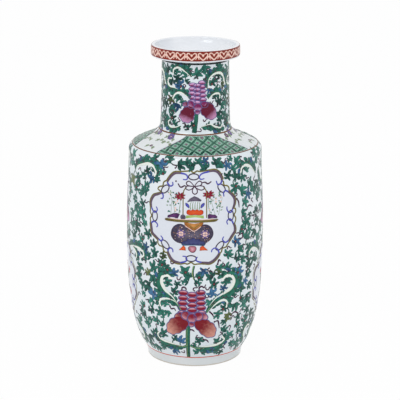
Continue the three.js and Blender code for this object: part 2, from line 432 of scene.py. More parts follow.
def unit(ways: Array) -> Array:
    """Each way made one long."""
    return ways / (np.linalg.norm(ways, axis=-1, keepdims=True) + 1e-9)


def quarter(ways: Array) -> Array:
    """Each way turned a quarter to the left."""
    return np.stack([-ways[..., 1], ways[..., 0]], axis=-1)


def flow(points: Sequence[Point] | Array, pitch: float = 1.0, closed: bool = False) -> Array:
    """A smooth line through a few points.

    Args:
        points: The points that the line passes through.
        pitch: About how far apart its own points lie.
        closed: Whether it runs back to its start, whose point isn't repeated.

    Returns:
        The line's points.
    """
    knots = np.array(points, float)
    if closed:
        knots = np.vstack([knots[-1:], knots, knots[:2]])
    else:
        knots = np.vstack([2 * knots[0] - knots[1], knots, 2 * knots[-1] - knots[-2]])
    runs = []
    for a, b, c, d in zip(knots, knots[1:], knots[2:], knots[3:]):
        steps = max(2, math.ceil(np.linalg.norm(c - b) / pitch))
        t = np.linspace(0, 1, steps, endpoint=False)[:, None]
        runs.append(0.5 * (2 * b + (c - a) * t + (2 * a - 5 * b + 4 * c - d) * t**2
                           + (3 * b - a - 3 * c + d) * t**3))
    if not closed:
        runs.append(knots[-2:-1])
    return np.vstack(runs)


def shifted(points: Sequence[Point] | Array, along: float = 0.0, up: float = 0.0,
            flip: bool = False, scale: float = 1.0, turn: float = 0.0) -> Array:
    """Moves a drawing's points: flipped and turned first, then scaled, then moved.

    Args:
        points: The points.
        along: How far they move along the wall.
        up: How far they move up the wall.
        flip: Whether left and right change places.
        scale: Their new size over the old.
        turn: Their turn to the left, in degrees.

    Returns:
        The moved points.
    """
    moved = np.array(points, float) * np.array([-1.0 if flip else 1.0, 1.0])
    angle = math.radians(turn)
    spin = np.array([[math.cos(angle), -math.sin(angle)], [math.sin(angle), math.cos(angle)]])
    return moved @ spin.T * scale + np.array([along, up])


@dataclass
class WallLine:
    """One side of the turned wall: radius and height in millimetres, and the length along them."""

    points: Array

    def __post_init__(self) -> None:
        """Measures the length from the first point to each."""
        steps = np.linalg.norm(np.diff(self.points, axis=0), axis=1)
        self.lengths = np.concatenate([[0.0], np.cumsum(steps)])

    def length_at(self, height: float | Array) -> Array:
        """The length along the wall at which it reaches a height."""
        return np.interp(height, self.points[:, 1], self.lengths)

    def radius_at(self, height: float | Array) -> Array:
        """The wall's radius at a height."""
        return np.interp(height, self.points[:, 1], self.points[:, 0])

    def cut(self, low: float, high: float, steps: int) -> Array:
        """The wall's points between two heights, evenly spaced along it."""
        ends = self.length_at(np.array([low, high]))
        places = np.linspace(ends[0], ends[1], steps + 1)
        return np.column_stack([np.interp(places, self.lengths, axis) for axis in self.points.T])

    def guide(self, name: str) -> bpy.types.Object:
        """Makes the curve that Geometry Nodes read the wall from."""
        curve = bpy.data.curves.new(name, "CURVE")
        curve.dimensions = "3D"
        spline = curve.splines.new("POLY")
        spline.points.add(len(self.points) - 1)
        radius, height = self.points.T * MM
        nought = np.zeros(len(radius))
        spline.points.foreach_set("co", np.column_stack([radius, nought, height, nought]).ravel())
        return shown(name, curve)


@dataclass
class FlatSheet:
    """Enamel of one colour, drawn flat: along the wall, up it and proud of it, in millimetres."""

    corners: list[Array] = field(default_factory=list)
    faces: list[Array] = field(default_factory=list)
    tones: list[Array] = field(default_factory=list)
    count: int = 0
    along: float = 0.0

    def _add(self, corners: Array, quads: Array, tones: Array) -> None:
        """Adds corners, faces of four corners, where the last may repeat, and tones."""
        self.corners.append(corners + [self.along, 0, 0])
        self.faces.append(quads + self.count)
        self.tones.append(tones)
        self.count += len(corners)

    def stroke(self, line: Sequence[Point] | Array, widths: Sequence[float] | Array, crown: float = 0.16,
               lift: float = -0.02, tone: Point = (0.5, 0.5), closed: bool = False,
               glow: float = 0.0) -> None:
        """Draws a raised brush stroke with a flat back.

        Args:
            line: The stroke's middle line.
            widths: Its width at even shares of its length.
            crown: How far its middle stands over its edges.
            lift: How far its edges stand over the glaze.
            tone: Its tone at the start and at the end, from deep to pale.
            closed: Whether it runs back to its start.
            glow: How much paler its middle is than its edges.
        """
        line = np.asarray(line, float)
        count = len(line)
        share = np.linspace(0, 1, count)
        width = np.interp(share, np.linspace(0, 1, len(widths)), widths)[:, None]
        ahead = np.roll(line, -1, axis=0) - np.roll(line, 1, axis=0) if closed else np.gradient(line, axis=0)
        aside = quarter(unit(ahead)) * width / 2
        rise = np.full((count, 1), crown)
        if not closed:
            rise[[0, -1]] = crown * 0.3
        rows = np.stack([np.hstack([line + aside * across, lift + rise * up])
                         for across, up in ((1, 0), (0.6, 1), (-0.6, 1), (-1, 0))], axis=1).reshape(-1, 3)
        here = np.arange(count if closed else count - 1) * 4
        after = (here + 4) % (count * 4)
        quads = [np.column_stack([here + k, here + k + 1, after + k + 1, after + k]) for k in range(3)]
        tones = np.interp(share, [0, 1], tone)[:, None] + np.array([0, glow, glow, 0])
        self._add(rows, np.vstack(quads), tones.ravel())

    def grid(self, rows: Array, rise: float, tone: Point) -> None:
        """Draws a thin ground through rows of points, each going to the right and the next above it."""
        count, wide = rows.shape[:2]
        here = (np.arange(count - 1)[:, None] * wide + np.arange(wide - 1)).ravel()
        quads = np.column_stack([here, here + 1, here + wide + 1, here + wide])
        corners = np.dstack([rows, np.full((count, wide), rise)]).reshape(-1, 3)
        self._add(corners, quads, np.linspace(*tone, count * wide))

    def patch(self, outline: Sequence[Point] | Array, crown: float = 0.18, lift: float = -0.02,
              tone: Sequence[float] = (0.2, 0.7), axis: tuple[Array, Array] | None = None,
              centre: Point | Array | None = None) -> None:
        """Draws a raised patch of enamel inside an outline that its centre sees all of.

        Args:
            outline: The outline, either way round.
            crown: How far its middle stands over its edge.
            lift: How far its edge stands over the glaze.
            tone: Its tone at the edge and in the middle, or at even shares of the axis.
            axis: Two points between which the tone runs.
            centre: The middle, if it isn't the mean of the outline.
        """
        outline = np.asarray(outline, float)
        after = np.roll(outline, -1, axis=0)
        if (outline[:, 0] * after[:, 1] - outline[:, 1] * after[:, 0]).sum() < 0:
            outline = outline[::-1]
        middle = outline.mean(axis=0) if centre is None else np.array(centre, float)
        count = len(outline)
        reach = float(np.linalg.norm(outline - middle, axis=1).max())
        rim = max(0.8, 1 - 1.2 / reach)
        sizes = [1.0, *np.linspace(rim, 0, math.ceil(reach / 4.6) + 1)[:-1]]
        flat = np.vstack([middle + (outline - middle) * size for size in sizes] + [middle[None]])
        inward = 1 - np.concatenate([np.repeat(sizes, count), [0.0]])
        depth = np.clip(inward * reach / min(reach, 2.4), 0, 1)
        rise = lift + crown * np.sqrt(1 - (1 - depth) ** 2)
        if axis is None:
            tones = np.interp(inward, [0, 1], tone)
        else:
            way = np.subtract(axis[1], axis[0])
            tones = np.interp((flat - axis[0]) @ way / (way @ way), np.linspace(0, 1, len(tone)), tone)
        here = np.arange(count)
        after = (here + 1) % count
        ring_starts = np.arange(len(sizes))[:, None] * count
        quads = np.stack([ring_starts + turn for turn in (here, after, after + count, here + count)], axis=-1)
        tip = len(sizes) * count
        self._add(np.column_stack([flat, rise]), np.minimum(quads.reshape(-1, 4), tip), tones)

    def dot(self, place: Point | Array, radius: float, crown: float = 0.2, lift: float = 0.0,
            tone: Point = (0.3, 0.7), sides: int = 10) -> None:
        """Draws a round dot."""
        self.patch(place + ring(radius, sides), crown, lift, tone)

    def mesh(self, name: str, heights: Callable[[Array], Array]) -> bpy.types.Mesh:
        """Makes the drawing a flat mesh in metres.

        Args:
            name: The mesh's name.
            heights: Turns a height on the vase into a length up its wall.

        Returns:
            The mesh, with its tones.
        """
        corners = np.vstack(self.corners)
        corners[:, 1] = heights(corners[:, 1])
        faces = [row[:3] if row[2] == row[3] else row for row in np.vstack(self.faces).tolist()]
        mesh = bpy.data.meshes.new(name)
        mesh.from_pydata((corners * MM).tolist(), [], faces)
        tone = mesh.attributes.new("tone", "FLOAT", "POINT")
        tone.data.foreach_set("value", np.concatenate(self.tones).astype(np.float32))
        return mesh


class Workshop:
    """The three Geometry Nodes trees, and what every piece goes through after them."""

    on_wall = {"Wall": "Object", "Reference radius": "Float"}

    def __init__(self) -> None:
        """Builds the trees."""
        self.wrapping = self._wrapping()
        self.scattering = self._scattering()
        self.turning = self._turning()
        self.pieces: list[bpy.types.Object] = []

    @staticmethod
    def _tree(name: str, inputs: dict[str, str]) -> tuple[Board, Outlets]:
        """Starts a tree with named inputs.

        Args:
            name: The tree's name.
            inputs: The type of each input by its name, besides the geometry and the finish.

        Returns:
            The tree's board and its inputs.
        """
        tree = bpy.data.node_groups.new(name, "GeometryNodeTree")
        for title, kind in {"Geometry": "Geometry", **inputs, "Finish": "Material"}.items():
            tree.interface.new_socket(title, in_out="INPUT", socket_type="NodeSocket" + kind)
        tree.interface.new_socket("Geometry", in_out="OUTPUT", socket_type="NodeSocketGeometry")
        board = Board(tree)
        return board, board.node("NodeGroupInput")

    @staticmethod
    def _wrapped(board: Board, entry: Outlets, flat: Wire) -> Wire:
        """Bends flat geometry round the wall that the guide curve gives.

        Args:
            board: The tree's board.
            entry: The tree's inputs.
            flat: The flat geometry.

        Returns:
            The bent geometry.
        """
        place = board.split(board.node("GeometryNodeInputPosition")[0])
        guide = board.node("GeometryNodeObjectInfo", {"Object": entry["Wall"]})["Geometry"]
        sample = board.node("GeometryNodeSampleCurve", {"Curves": guide, "Length": place["Y"]},
                            mode="LENGTH", use_all_curves=True)
        on_wall, ahead = board.split(sample["Position"]), board.split(sample["Tangent"])
        radius = on_wall["X"] + place["Z"] * ahead["Z"]
        height = on_wall["Z"] - place["Z"] * ahead["X"]
        bent = board.polar(radius, place["X"] / entry["Reference radius"], height)
        return board.node("GeometryNodeSetPosition", {"Geometry": flat, "Position": bent})[0]

    @staticmethod
    def _end(board: Board, entry: Outlets, shape: Wire) -> bpy.types.NodeTree:
        """Ends a tree in Realize Instances and Set Material."""
        real = board.node("GeometryNodeRealizeInstances", {"Geometry": shape})[0]
        dressed = board.node("GeometryNodeSetMaterial", {"Geometry": real, "Material": entry["Finish"]})[0]
        board.node("NodeGroupOutput", {0: dressed})
        return board.tree

    def _wrapping(self) -> bpy.types.NodeTree:
        """The tree that bends a flat sheet round the wall."""
        board, entry = self._tree("wrap_round_wall", self.on_wall)
        return self._end(board, entry, self._wrapped(board, entry, entry["Geometry"]))

    def _scattering(self) -> bpy.types.NodeTree:
        """The tree that sets motifs on flat points and bends them round the wall."""
        board, entry = self._tree("set_out_motifs", {**self.on_wall, "Motifs": "Collection"})
        motifs = board.node("GeometryNodeCollectionInfo", {
            "Collection": entry["Motifs"], "Separate Children": True, "Reset Children": True})[0]
        turn, size, kind = (board.node("GeometryNodeInputNamedAttribute", {"Name": title}, data_type=sort)[0]
                            for title, sort in (("turn", "FLOAT"), ("size", "FLOAT"), ("kind", "INT")))
        spin = board.node("FunctionNodeEulerToRotation", {0: board.join(0.0, 0.0, turn)})[0]
        set_out = board.node("GeometryNodeInstanceOnPoints", {
            "Points": entry["Geometry"], "Instance": motifs, "Pick Instance": True, "Instance Index": kind,
            "Rotation": spin, "Scale": board.join(size, size, 1.0)})[0]
        real = board.node("GeometryNodeRealizeInstances", {"Geometry": set_out})[0]
        return self._end(board, entry, self._wrapped(board, entry, real))

    def _turning(self) -> bpy.types.NodeTree:
        """The tree that turns an outline, given as the points of a mesh, about the axis."""
        board, entry = self._tree("turn_about_axis", {"Points": "Int", "Segments": "Int"})
        last_row = entry["Points"] - 1.0
        grid = board.node("GeometryNodeMeshGrid", {
            "Size X": entry["Segments"] * 1.0, "Size Y": last_row,
            "Vertices X": entry["Segments"] + 1.0, "Vertices Y": entry["Points"]})["Mesh"]
        position = board.node("GeometryNodeInputPosition")[0]
        place = board.split(position)
        index = (place["Y"] + last_row * 0.5).through("ROUND")
        outline = board.split(board.node("GeometryNodeSampleIndex", {
            "Geometry": entry["Geometry"], "Value": position, "Index": index},
            data_type="FLOAT_VECTOR", domain="POINT")[0])
        angle = (place["X"] / entry["Segments"] + 0.5) * TURN
        turned = board.polar(outline["X"], angle, outline["Z"])
        shape = board.node("GeometryNodeSetPosition", {"Geometry": grid, "Position": turned})[0]
        closed = board.node("GeometryNodeMergeByDistance", {"Geometry": shape, "Distance": 1e-6})[0]
        return self._end(board, entry, closed)

    def finish(self, name: str, mesh: bpy.types.Mesh, tree: bpy.types.NodeTree, inputs: dict[str, Any],
               finish: Finish, stands_for: Iterable[str] = (), crease: float = 80.0) -> None:
        """Runs a tree on a mesh, and makes its result a piece of the vase.

        Args:
            name: The piece's name.
            mesh: The mesh that goes in.
            tree: The tree that shapes it.
            inputs: The values of the tree's inputs by their names.
            finish: The piece's finish.
            stands_for: The frame's nodes that the piece replaces.
            crease: The angle past which an edge is sharp, in degrees.
        """
        piece = shown(name, mesh)
        modifier = piece.modifiers.new("shape", "NODES")
        modifier.node_group = tree
        sockets = {item.name: item.identifier for item in tree.interface.items_tree if item.in_out == "INPUT"}
        for title, value in {**inputs, "Finish": finish.material()}.items():
            modifier[sockets[title]] = value
        bpy.context.view_layer.update()
        ready = piece.evaluated_get(bpy.context.evaluated_depsgraph_get())
        shaped = bpy.data.meshes.new_from_object(ready)
        piece.modifiers.remove(modifier)
        piece.data = shaped
        shaped.name = name
        shaped.shade_smooth()
        shaped.set_sharp_from_angle(angle=math.radians(crease))
        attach(piece, ROOT_BODY)
        if stands_for:
            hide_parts(*stands_for)
        self.pieces.append(piece)
        log.info("%s: %d faces", name, len(shaped.polygons))

    def turned(self, name: str, outline: Array, finish: Finish, stands_for: Iterable[str] = (),
               segments: int = 192) -> None:
        """Turns a closed outline of radius and height, outer side going up, into a piece.

        Args:
            name: The piece's name.
            outline: The outline in millimetres, its first point not repeated.
            finish: The piece's finish.
            stands_for: The frame's nodes that the piece replaces.
            segments: How many parts a turn is cut into.
        """
        radius, height = np.vstack([outline, outline[:1]]).T * MM
        mesh = bpy.data.meshes.new(name)
        mesh.from_pydata(np.column_stack([radius, 0 * radius, height]).tolist(), [], [])
        inputs = {"Points": len(radius), "Segments": segments}
        self.finish(name, mesh, self.turning, inputs, finish, stands_for, crease=40.0)


@dataclass
class Side:
    """A side of the wall that is painted: its guide and the radius that keeps a drawing's width."""

    line: WallLine
    guide: bpy.types.Object
    radius: float

    def __post_init__(self) -> None:
        """Keeps what the trees need to bend a drawing round this side."""
        self.inputs = {"Wall": self.guide, "Reference radius": self.radius * MM}

    def lay(self, workshop: Workshop, name: str, sheet: FlatSheet, finish: Finish,
            stands_for: Iterable[str] = ()) -> None:
        """Bends a flat sheet round the wall, in the place of some of the frame's nodes."""
        mesh = sheet.mesh(name, self.line.length_at)
        workshop.finish(name, mesh, workshop.wrapping, self.inputs, finish, stands_for)

    def set_out(self, workshop: Workshop, name: str, motifs: Sequence[FlatSheet], places: Array,
                finish: Finish) -> None:
        """Sets motifs on flat places and bends them round the wall.

        Args:
            workshop: Where the piece is made.
            name: The piece's name.
            motifs: The motifs, flat, about their own origins.
            places: A row for each copy: along, up, turn in degrees, size, which motif, and tint.
            finish: The piece's finish.
        """
        collection = bpy.data.collections.new(name + "_motifs")
        for index, motif in enumerate(motifs):
            title = f"{name}_motif_{index}"
            collection.objects.link(bpy.data.objects.new(title, motif.mesh(title, lambda up: up)))
        mesh = bpy.data.meshes.new(name)
        along, up, turn, size, kind, tint = places.T
        flat = np.column_stack([along, self.line.length_at(up), 0 * up]) * MM
        mesh.from_pydata(flat.tolist(), [], [])
        columns = {"turn": np.radians(turn), "size": size, "kind": kind.astype(np.int32), "tint": tint}
        for title, values in columns.items():
            whole = values.dtype == np.int32
            attribute = mesh.attributes.new(title, "INT" if whole else "FLOAT", "POINT")
            attribute.data.foreach_set("value", values if whole else values.astype(np.float32))
        workshop.finish(name, mesh, workshop.scattering, {**self.inputs, "Motifs": collection}, finish)
        for shape in list(collection.objects):
            bpy.data.objects.remove(shape)
        bpy.data.collections.remove(collection)


@dataclass
class Pot:
    """The thrown sections, their slip seams and their outer wall."""

    neck_rise: float = 30.6
    neck_root: float = 50.0
    wall: float = 5.4
    foot_flare: float = 34.8
    foot_reach: float = 45.0
    girth_reach: tuple[float, float] = (49.0, 62.0)
    shoulder_reach: tuple[float, float] = (34.0, 14.2)
    shoulder_slope: float = 64.0
    shoulder_pull: float = 16.3
    neck_pull: float = 6.3
    neck_reach: float = 56.0
    neck_lean: float = 1.1
    squeeze: float = 1.1
    gap: float = 0.3

    def __post_init__(self) -> None:
        """Reads the seams from the frame and draws the outer and inner wall."""
        self.seams = {name: self._seam(name) for name in ("foot", "waist", "shoulder", "neck", "mouth")}
        foot, waist, shoulder, _, mouth = (np.array(seam) for seam in self.seams.values())
        root = np.array([self.neck_root, shoulder[1] + self.neck_rise])
        slope = ray(-self.shoulder_slope)
        curves = (
            (foot, foot + self.foot_reach * ray(90 - self.foot_flare),
             waist - [0, self.girth_reach[0]], waist),
            (waist, waist + [0, self.girth_reach[1]], shoulder - [0, self.shoulder_reach[0]], shoulder),
            (shoulder, shoulder + [0, self.shoulder_reach[1]], root + self.shoulder_pull * slope, root),
            (root, root - self.neck_pull * slope, mouth + [self.neck_lean, -self.neck_reach], mouth),
        )
        runs = [bezier(curve, 90) for curve in curves]
        self.outer = WallLine(np.vstack([runs[0], *(run[1:] for run in runs[1:])]))
        self.inner = WallLine(beside(self.outer.points, self.wall))

    @staticmethod
    def _seam(name: str) -> Point:
        """The radius and height of a slip seam's middle, in millimetres."""
        low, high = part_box(name + "_luting")
        return round(high.x / MM, 2), (low.z + high.z) / 2 / MM

    def build(self, workshop: Workshop) -> None:
        """Turns every section and seam of the pot."""
        low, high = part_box("waist_luting")
        half = (high.z - low.z) / 2 / MM
        heights = {name: height for name, (_, height) in self.seams.items()}
        for name, under, over, steps in (("upper_body", "waist", "shoulder", 48),
                                         ("shoulder", "shoulder", "neck", 56), ("neck", "neck", "mouth", 40)):
            low, high = heights[under] + half, heights[over] - half
            inside = self.inner.cut(low, high, steps // 2)[::-1]
            outline = np.vstack([self.outer.cut(low, high, steps), inside])
            workshop.turned(name + "_wall", outline, Finish.WHITE, [name])
        self._lower_body(workshop, heights["foot"] + half, heights["waist"] - half)
        self._foot(workshop)
        self._mouth(workshop, heights["mouth"] + half)
        for name in ("waist", "shoulder", "neck", "mouth"):
            low, high = heights[name] - half, heights[name] + half
            squeezed = self.inner.cut(low, high, 4)[::-1] - [self.squeeze, 0]
            squeezed[[0, -1], 0] += self.squeeze / 2
            outline = np.vstack([self.outer.cut(low, high, 2), squeezed])
            workshop.turned(name + "_seam", outline, Finish.WHITE, [name + "_luting"])

    def _lower_body(self, workshop: Workshop, low: float, high: float) -> None:
        """Turns the flaring lower wall, thick at the foot where it closes on the base."""
        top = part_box("foot_luting")[0].z / MM
        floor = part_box("base_luting")[1].z / MM + self.gap
        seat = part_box("base_disc")[1].x / MM + self.gap
        outline = np.vstack([self.outer.cut(low, high, 60), self.inner.cut(floor, high, 30)[::-1],
                             [[seat, floor], [seat, low]]])
        workshop.turned("lower_body_wall", outline, Finish.WHITE, ["lower_body"])
        seam = [(self.outer.radius_at(top), top), (self.outer.radius_at(low), low), (seat, low), (seat, top)]
        workshop.turned("foot_seam", np.array(seam), Finish.WHITE, ["foot_luting"])

    def _foot(self, workshop: Workshop) -> None:
        """Turns the foot ring with its softened edges, the floor and its slip fillet."""
        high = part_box("foot_ring")[1]
        base_low, base_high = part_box("base_disc")
        top, under = high.z / MM, base_low.z / MM
        edge, over = base_high.x / MM, base_high.z / MM
        seat = edge + self.gap
        recess, bottom, soft = 58.6, 67.4, 1.2
        outline = np.vstack([
            arc((bottom - soft, soft), soft, -90, 0, 5), [[high.x / MM, top], [seat, top], [seat, under]],
            [[recess, under]], arc((recess + soft, soft), soft, 180, 270, 5),
        ])
        workshop.turned("foot_ring_turned", outline, Finish.FOOT, ["foot_ring"])
        rings = np.linspace(0, edge, 13)
        dish = 0.3 * (1 - (rings / edge) ** 2)
        floor = np.vstack([np.column_stack([rings, under + dish]),
                           np.column_stack([rings, over - dish])[::-1]])
        # The floor takes the paler inside glaze, which carries painted light.
        workshop.turned("base_floor", floor, Finish.INSIDE, ["base_disc"], 96)
        puddle = (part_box("base_luting")[1].z - base_high.z) / MM
        corner = arc((edge - puddle, over + puddle), puddle, 0, -90, 6)
        workshop.turned("base_fillet", np.vstack([[[edge, over]], corner]), Finish.SLIP, ["base_luting"], 96)

    def _mouth(self, workshop: Workshop, low: float) -> None:
        """Turns the dished mouth: flat underside, upright lip, rounded edges and dish."""
        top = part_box("mouth_rim")[1].z / MM
        rise, lip, lip_top, thick, soft, ledge_soft, heel = 1.8, 61.6, 61.2, 5.2, 1.6, 2.2, 0.6
        neck, height = self.seams["mouth"]
        throat = float(self.inner.radius_at(height))
        ledge = low + rise
        inside = lip_top - thick
        dish = bezier([(inside, top - soft), (inside - 1, top - 9.5), (throat + 9.5, top - 14.2),
                       (throat, low)], 24)
        outline = np.vstack([
            [[neck, low], [neck, ledge - heel]], arc((neck + heel, ledge - heel), heel, 180, 90, 3),
            arc((lip - ledge_soft, ledge + ledge_soft), ledge_soft, -90, 0, 8),
            arc((lip_top - soft, top - soft), soft, 0, 90, 8),
            arc((inside + soft, top - soft), soft, 90, 180, 8), dish[1:],
        ])
        # The mouth takes the paler inside glaze: painted light on its shaded dish.
        workshop.turned("mouth_dish_wall", outline, Finish.INSIDE, ["mouth_rim"])
        self.lip = WallLine(np.array([[lip, ledge + ledge_soft], [lip_top, top - soft]]))


def beside(line: Array, distance: float | Array) -> Array:
    """Moves a line to its left by a distance, which may change along it."""
    return line + quarter(unit(np.gradient(line, axis=0))) * np.reshape(distance, (-1, 1))


def turning(line: Array) -> float:
    """One for a line that turns to the left on the whole, and minus one for one that turns right."""
    steps = np.diff(line, axis=0)
    cross = steps[:-1, 0] * steps[1:, 1] - steps[:-1, 1] * steps[1:, 0]
    return 1.0 if cross.sum() > 0 else -1.0


@dataclass
class Brushwork:
    """The painting of one sub-assembly: a flat sheet for each finish, and the brush's place."""

    name: str
    along: float = 0.0
    sheets: dict[Finish, FlatSheet] = field(default_factory=dict)

    def __getitem__(self, finish: Finish) -> FlatSheet:
        """The sheet of a finish, at the brush's place."""
        sheet = self.sheets.setdefault(finish, FlatSheet())
        sheet.along = self.along
        return sheet

    def outlined(self, outline: Sequence[Point] | Array, fill: Finish, edge: Finish, width: float = 0.9,
                 lift: float = 0.0, pitch: float = 0.0, **how: Any) -> None:
        """Fills an outline and draws its edge.

        Args:
            outline: The outline.
            fill: The finish inside.
            edge: The finish of the edge.
            width: The edge's width.
            lift: How far both stand over the glaze.
            pitch: How far apart points lie when the outline is made smooth, or nought.
            how: What else FlatSheet.patch takes.
        """
        if pitch:
            outline = flow(outline, pitch, closed=True)
        self[fill].patch(outline, lift=lift, **how)
        self[edge].stroke(outline, [width], crown=0.1, lift=lift + 0.1, closed=True)

    def line(self, finish: Finish, points: Sequence[Point] | Array, widths: Sequence[float] | Array,
             pitch: float = 1.0, lift: float = 0.06, **how: Any) -> None:
        """Draws a smooth stroke through a few points, as `flow` and `FlatSheet.stroke` say."""
        self[finish].stroke(flow(points, pitch), widths, lift=lift, **how)

    def lay(self, workshop: Workshop, side: Side, stands_for: Sequence[str] = ()) -> None:
        """Bends every sheet round the wall, in the place of the frame's nodes that they stand for."""
        for finish, sheet in self.sheets.items():
            side.lay(workshop, f"{self.name}_{finish.value.name}", sheet, finish, stands_for)


@dataclass
class Taken:
    """The places of a wall that are painted already, kept as discs."""

    turn_length: float
    discs: list[Array] = field(default_factory=list)

    def add(self, points: Array | Sequence[Point], radius: float) -> None:
        """Marks discs of a radius about some points."""
        points = np.atleast_2d(np.array(points, float))
        self.discs.append(np.column_stack([points, np.full(len(points), radius)]))

    def gap(self, place: Array) -> float:
        """How far a place is from the nearest disc's edge."""
        discs = np.vstack(self.discs)
        along = np.abs(discs[:, 0] - place[0]) % self.turn_length
        along = np.minimum(along, self.turn_length - along)
        return float((np.hypot(along, discs[:, 1] - place[1]) - discs[:, 2]).min())

    def fill(self, rng: np.random.Generator, span: Point, reach: float, keep: float, throws: int) -> Array:
        """Throws places at the wall and keeps those that are clear.

        Args:
            rng: The source of chance.
            span: The lowest and highest place up the wall.
            reach: How far a new place stays from what is there.
            keep: The radius that a new place then takes up itself.
            throws: How many places are thrown.

        Returns:
            The places that were kept.
        """
        half = self.turn_length / 2
        kept = []
        for place in rng.uniform([-half, span[0]], [half, span[1]], (throws, 2)):
            if self.gap(place) > reach:
                kept.append(place)
                self.add(place, keep)
        return np.array(kept).reshape(-1, 2)


BROAD_LEAF = (
    (((0, -3), (0.6, 2), (0.2, 6.2), (2.8, 10.8)), 5.6),
    (((0, -0.5), (-3.6, 2.0), (-6.4, 1.8), (-9.4, 5.0)), 4.6),
    (((0.4, 0.6), (3.6, 3.4), (6.8, 3.6), (9.4, 7.0)), 4.4), (((0, -1.5), (-3.2, -3.6), (-7.0, -3.2)), 3.8),
    (((0, -1.5), (3.4, -2.6), (6.8, -5.4)), 3.8),
)
CURLED_LEAF = (
    (((-1, -3), (2.4, 1.5), (3.2, 6.4), (0.4, 9.6), (-3.8, 8.2)), 4.8),
    (((1.4, 0), (5.4, 0.4), (9.0, -2.6)), 4.2),
    (((2.8, 3.6), (6.6, 4.4), (10.4, 2.8)), 4.2), (((2.6, 7), (5.6, 9.6), (6.4, 13.4)), 3.8),
    (((0, 0), (-3, 2), (-5.6, 5.8)), 4.0),
)
SPRAY_LEAF = (
    (((0, -2), (-1.4, 3), (-0.6, 7.0), (3.0, 11.6)), 5.4),
    (((0, 0), (3.8, 1.8), (5.6, 4.6), (9.2, 6.4)), 4.3),
    (((0, -1), (-4.2, 0.6), (-5.2, 4.0), (-8.8, 6.4)), 4.5), (((0, -1), (4, -2.4), (8.6, -0.8)), 3.8),
)
FORKED_LEAF = (
    (((0, -2), (3.4, 2.2), (4.6, 6.0), (8.6, 9.4)), 5.2),
    (((0, -2), (-3.2, 2), (-3.4, 6.4), (-7.4, 9.6)), 5.2),
    (((0, 0), (0.8, 3), (-0.2, 7.4)), 4.2), (((0, -1), (-4.0, -2.2), (-8.6, -0.4)), 3.8),
    (((0, -1), (3.8, -2.6), (8.0, -1.0)), 3.6),
)
LEAVES = ((BROAD_LEAF, False), (CURLED_LEAF, False), (CURLED_LEAF, True), (SPRAY_LEAF, False),
          (FORKED_LEAF, False), (SPRAY_LEAF, True))
LOBE = np.array([0.78, 1.0, 0.95, 0.38])
LEAF_LOOK = {"crown": 0.17, "tone": (-0.1, 0.35), "glow": 0.3}
CURL = ((-3.2, 1.4), (-2.2, 3.4), (0.2, 3.4), (1.3, 1.2), (2.0, -1.2), (4.2, -1.8))


def motif(lobes: Lobes, flip: bool, edge: bool) -> FlatSheet:
    """Draws a leaf of pointed lobes about its own origin, growing up the sheet.

    Args:
        lobes: Each lobe's middle line and its width.
        flip: Whether left and right change places.
        edge: Whether it is the dark edge that shows round the leaf, or the leaf itself.

    Returns:
        The leaf's sheet.
    """
    sheet = FlatSheet()
    for points, width in lobes:
        line = flow(shifted(points, flip=flip), 3.0)
        if edge:
            sheet.stroke(line, LOBE * width + [0.7, 1.1, 1.1, 1.0], crown=0.1)
        else:
            sheet.stroke(line, LOBE * width, lift=0.04, **LEAF_LOOK)
    return sheet


def draw_leaf(brush: Brushwork, lobes: Lobes, fill: Finish, **move: Any) -> None:
    """Draws one outlined leaf, moved as `shifted` says."""
    size = move.get("scale", 1.0)
    for points, width in lobes:
        line = flow(shifted(points, **move), 2.0)
        brush[Finish.INK].stroke(line, LOBE * width * size + 0.8, crown=0.1, lift=0.04)
        brush[fill].stroke(line, LOBE * width * size, lift=0.1, **LEAF_LOOK)


def draw_curl(brush: Brushwork, line: Array, size: float = 1.0) -> None:
    """Draws a small dark tendril that starts in a dot."""
    brush[Finish.SQUIGGLE].stroke(line, np.array([1.2, 1.9, 1.6, 0.9]) * size, lift=0.12)
    brush[Finish.SQUIGGLE].dot(line[0], 1.15 * size, lift=0.12)


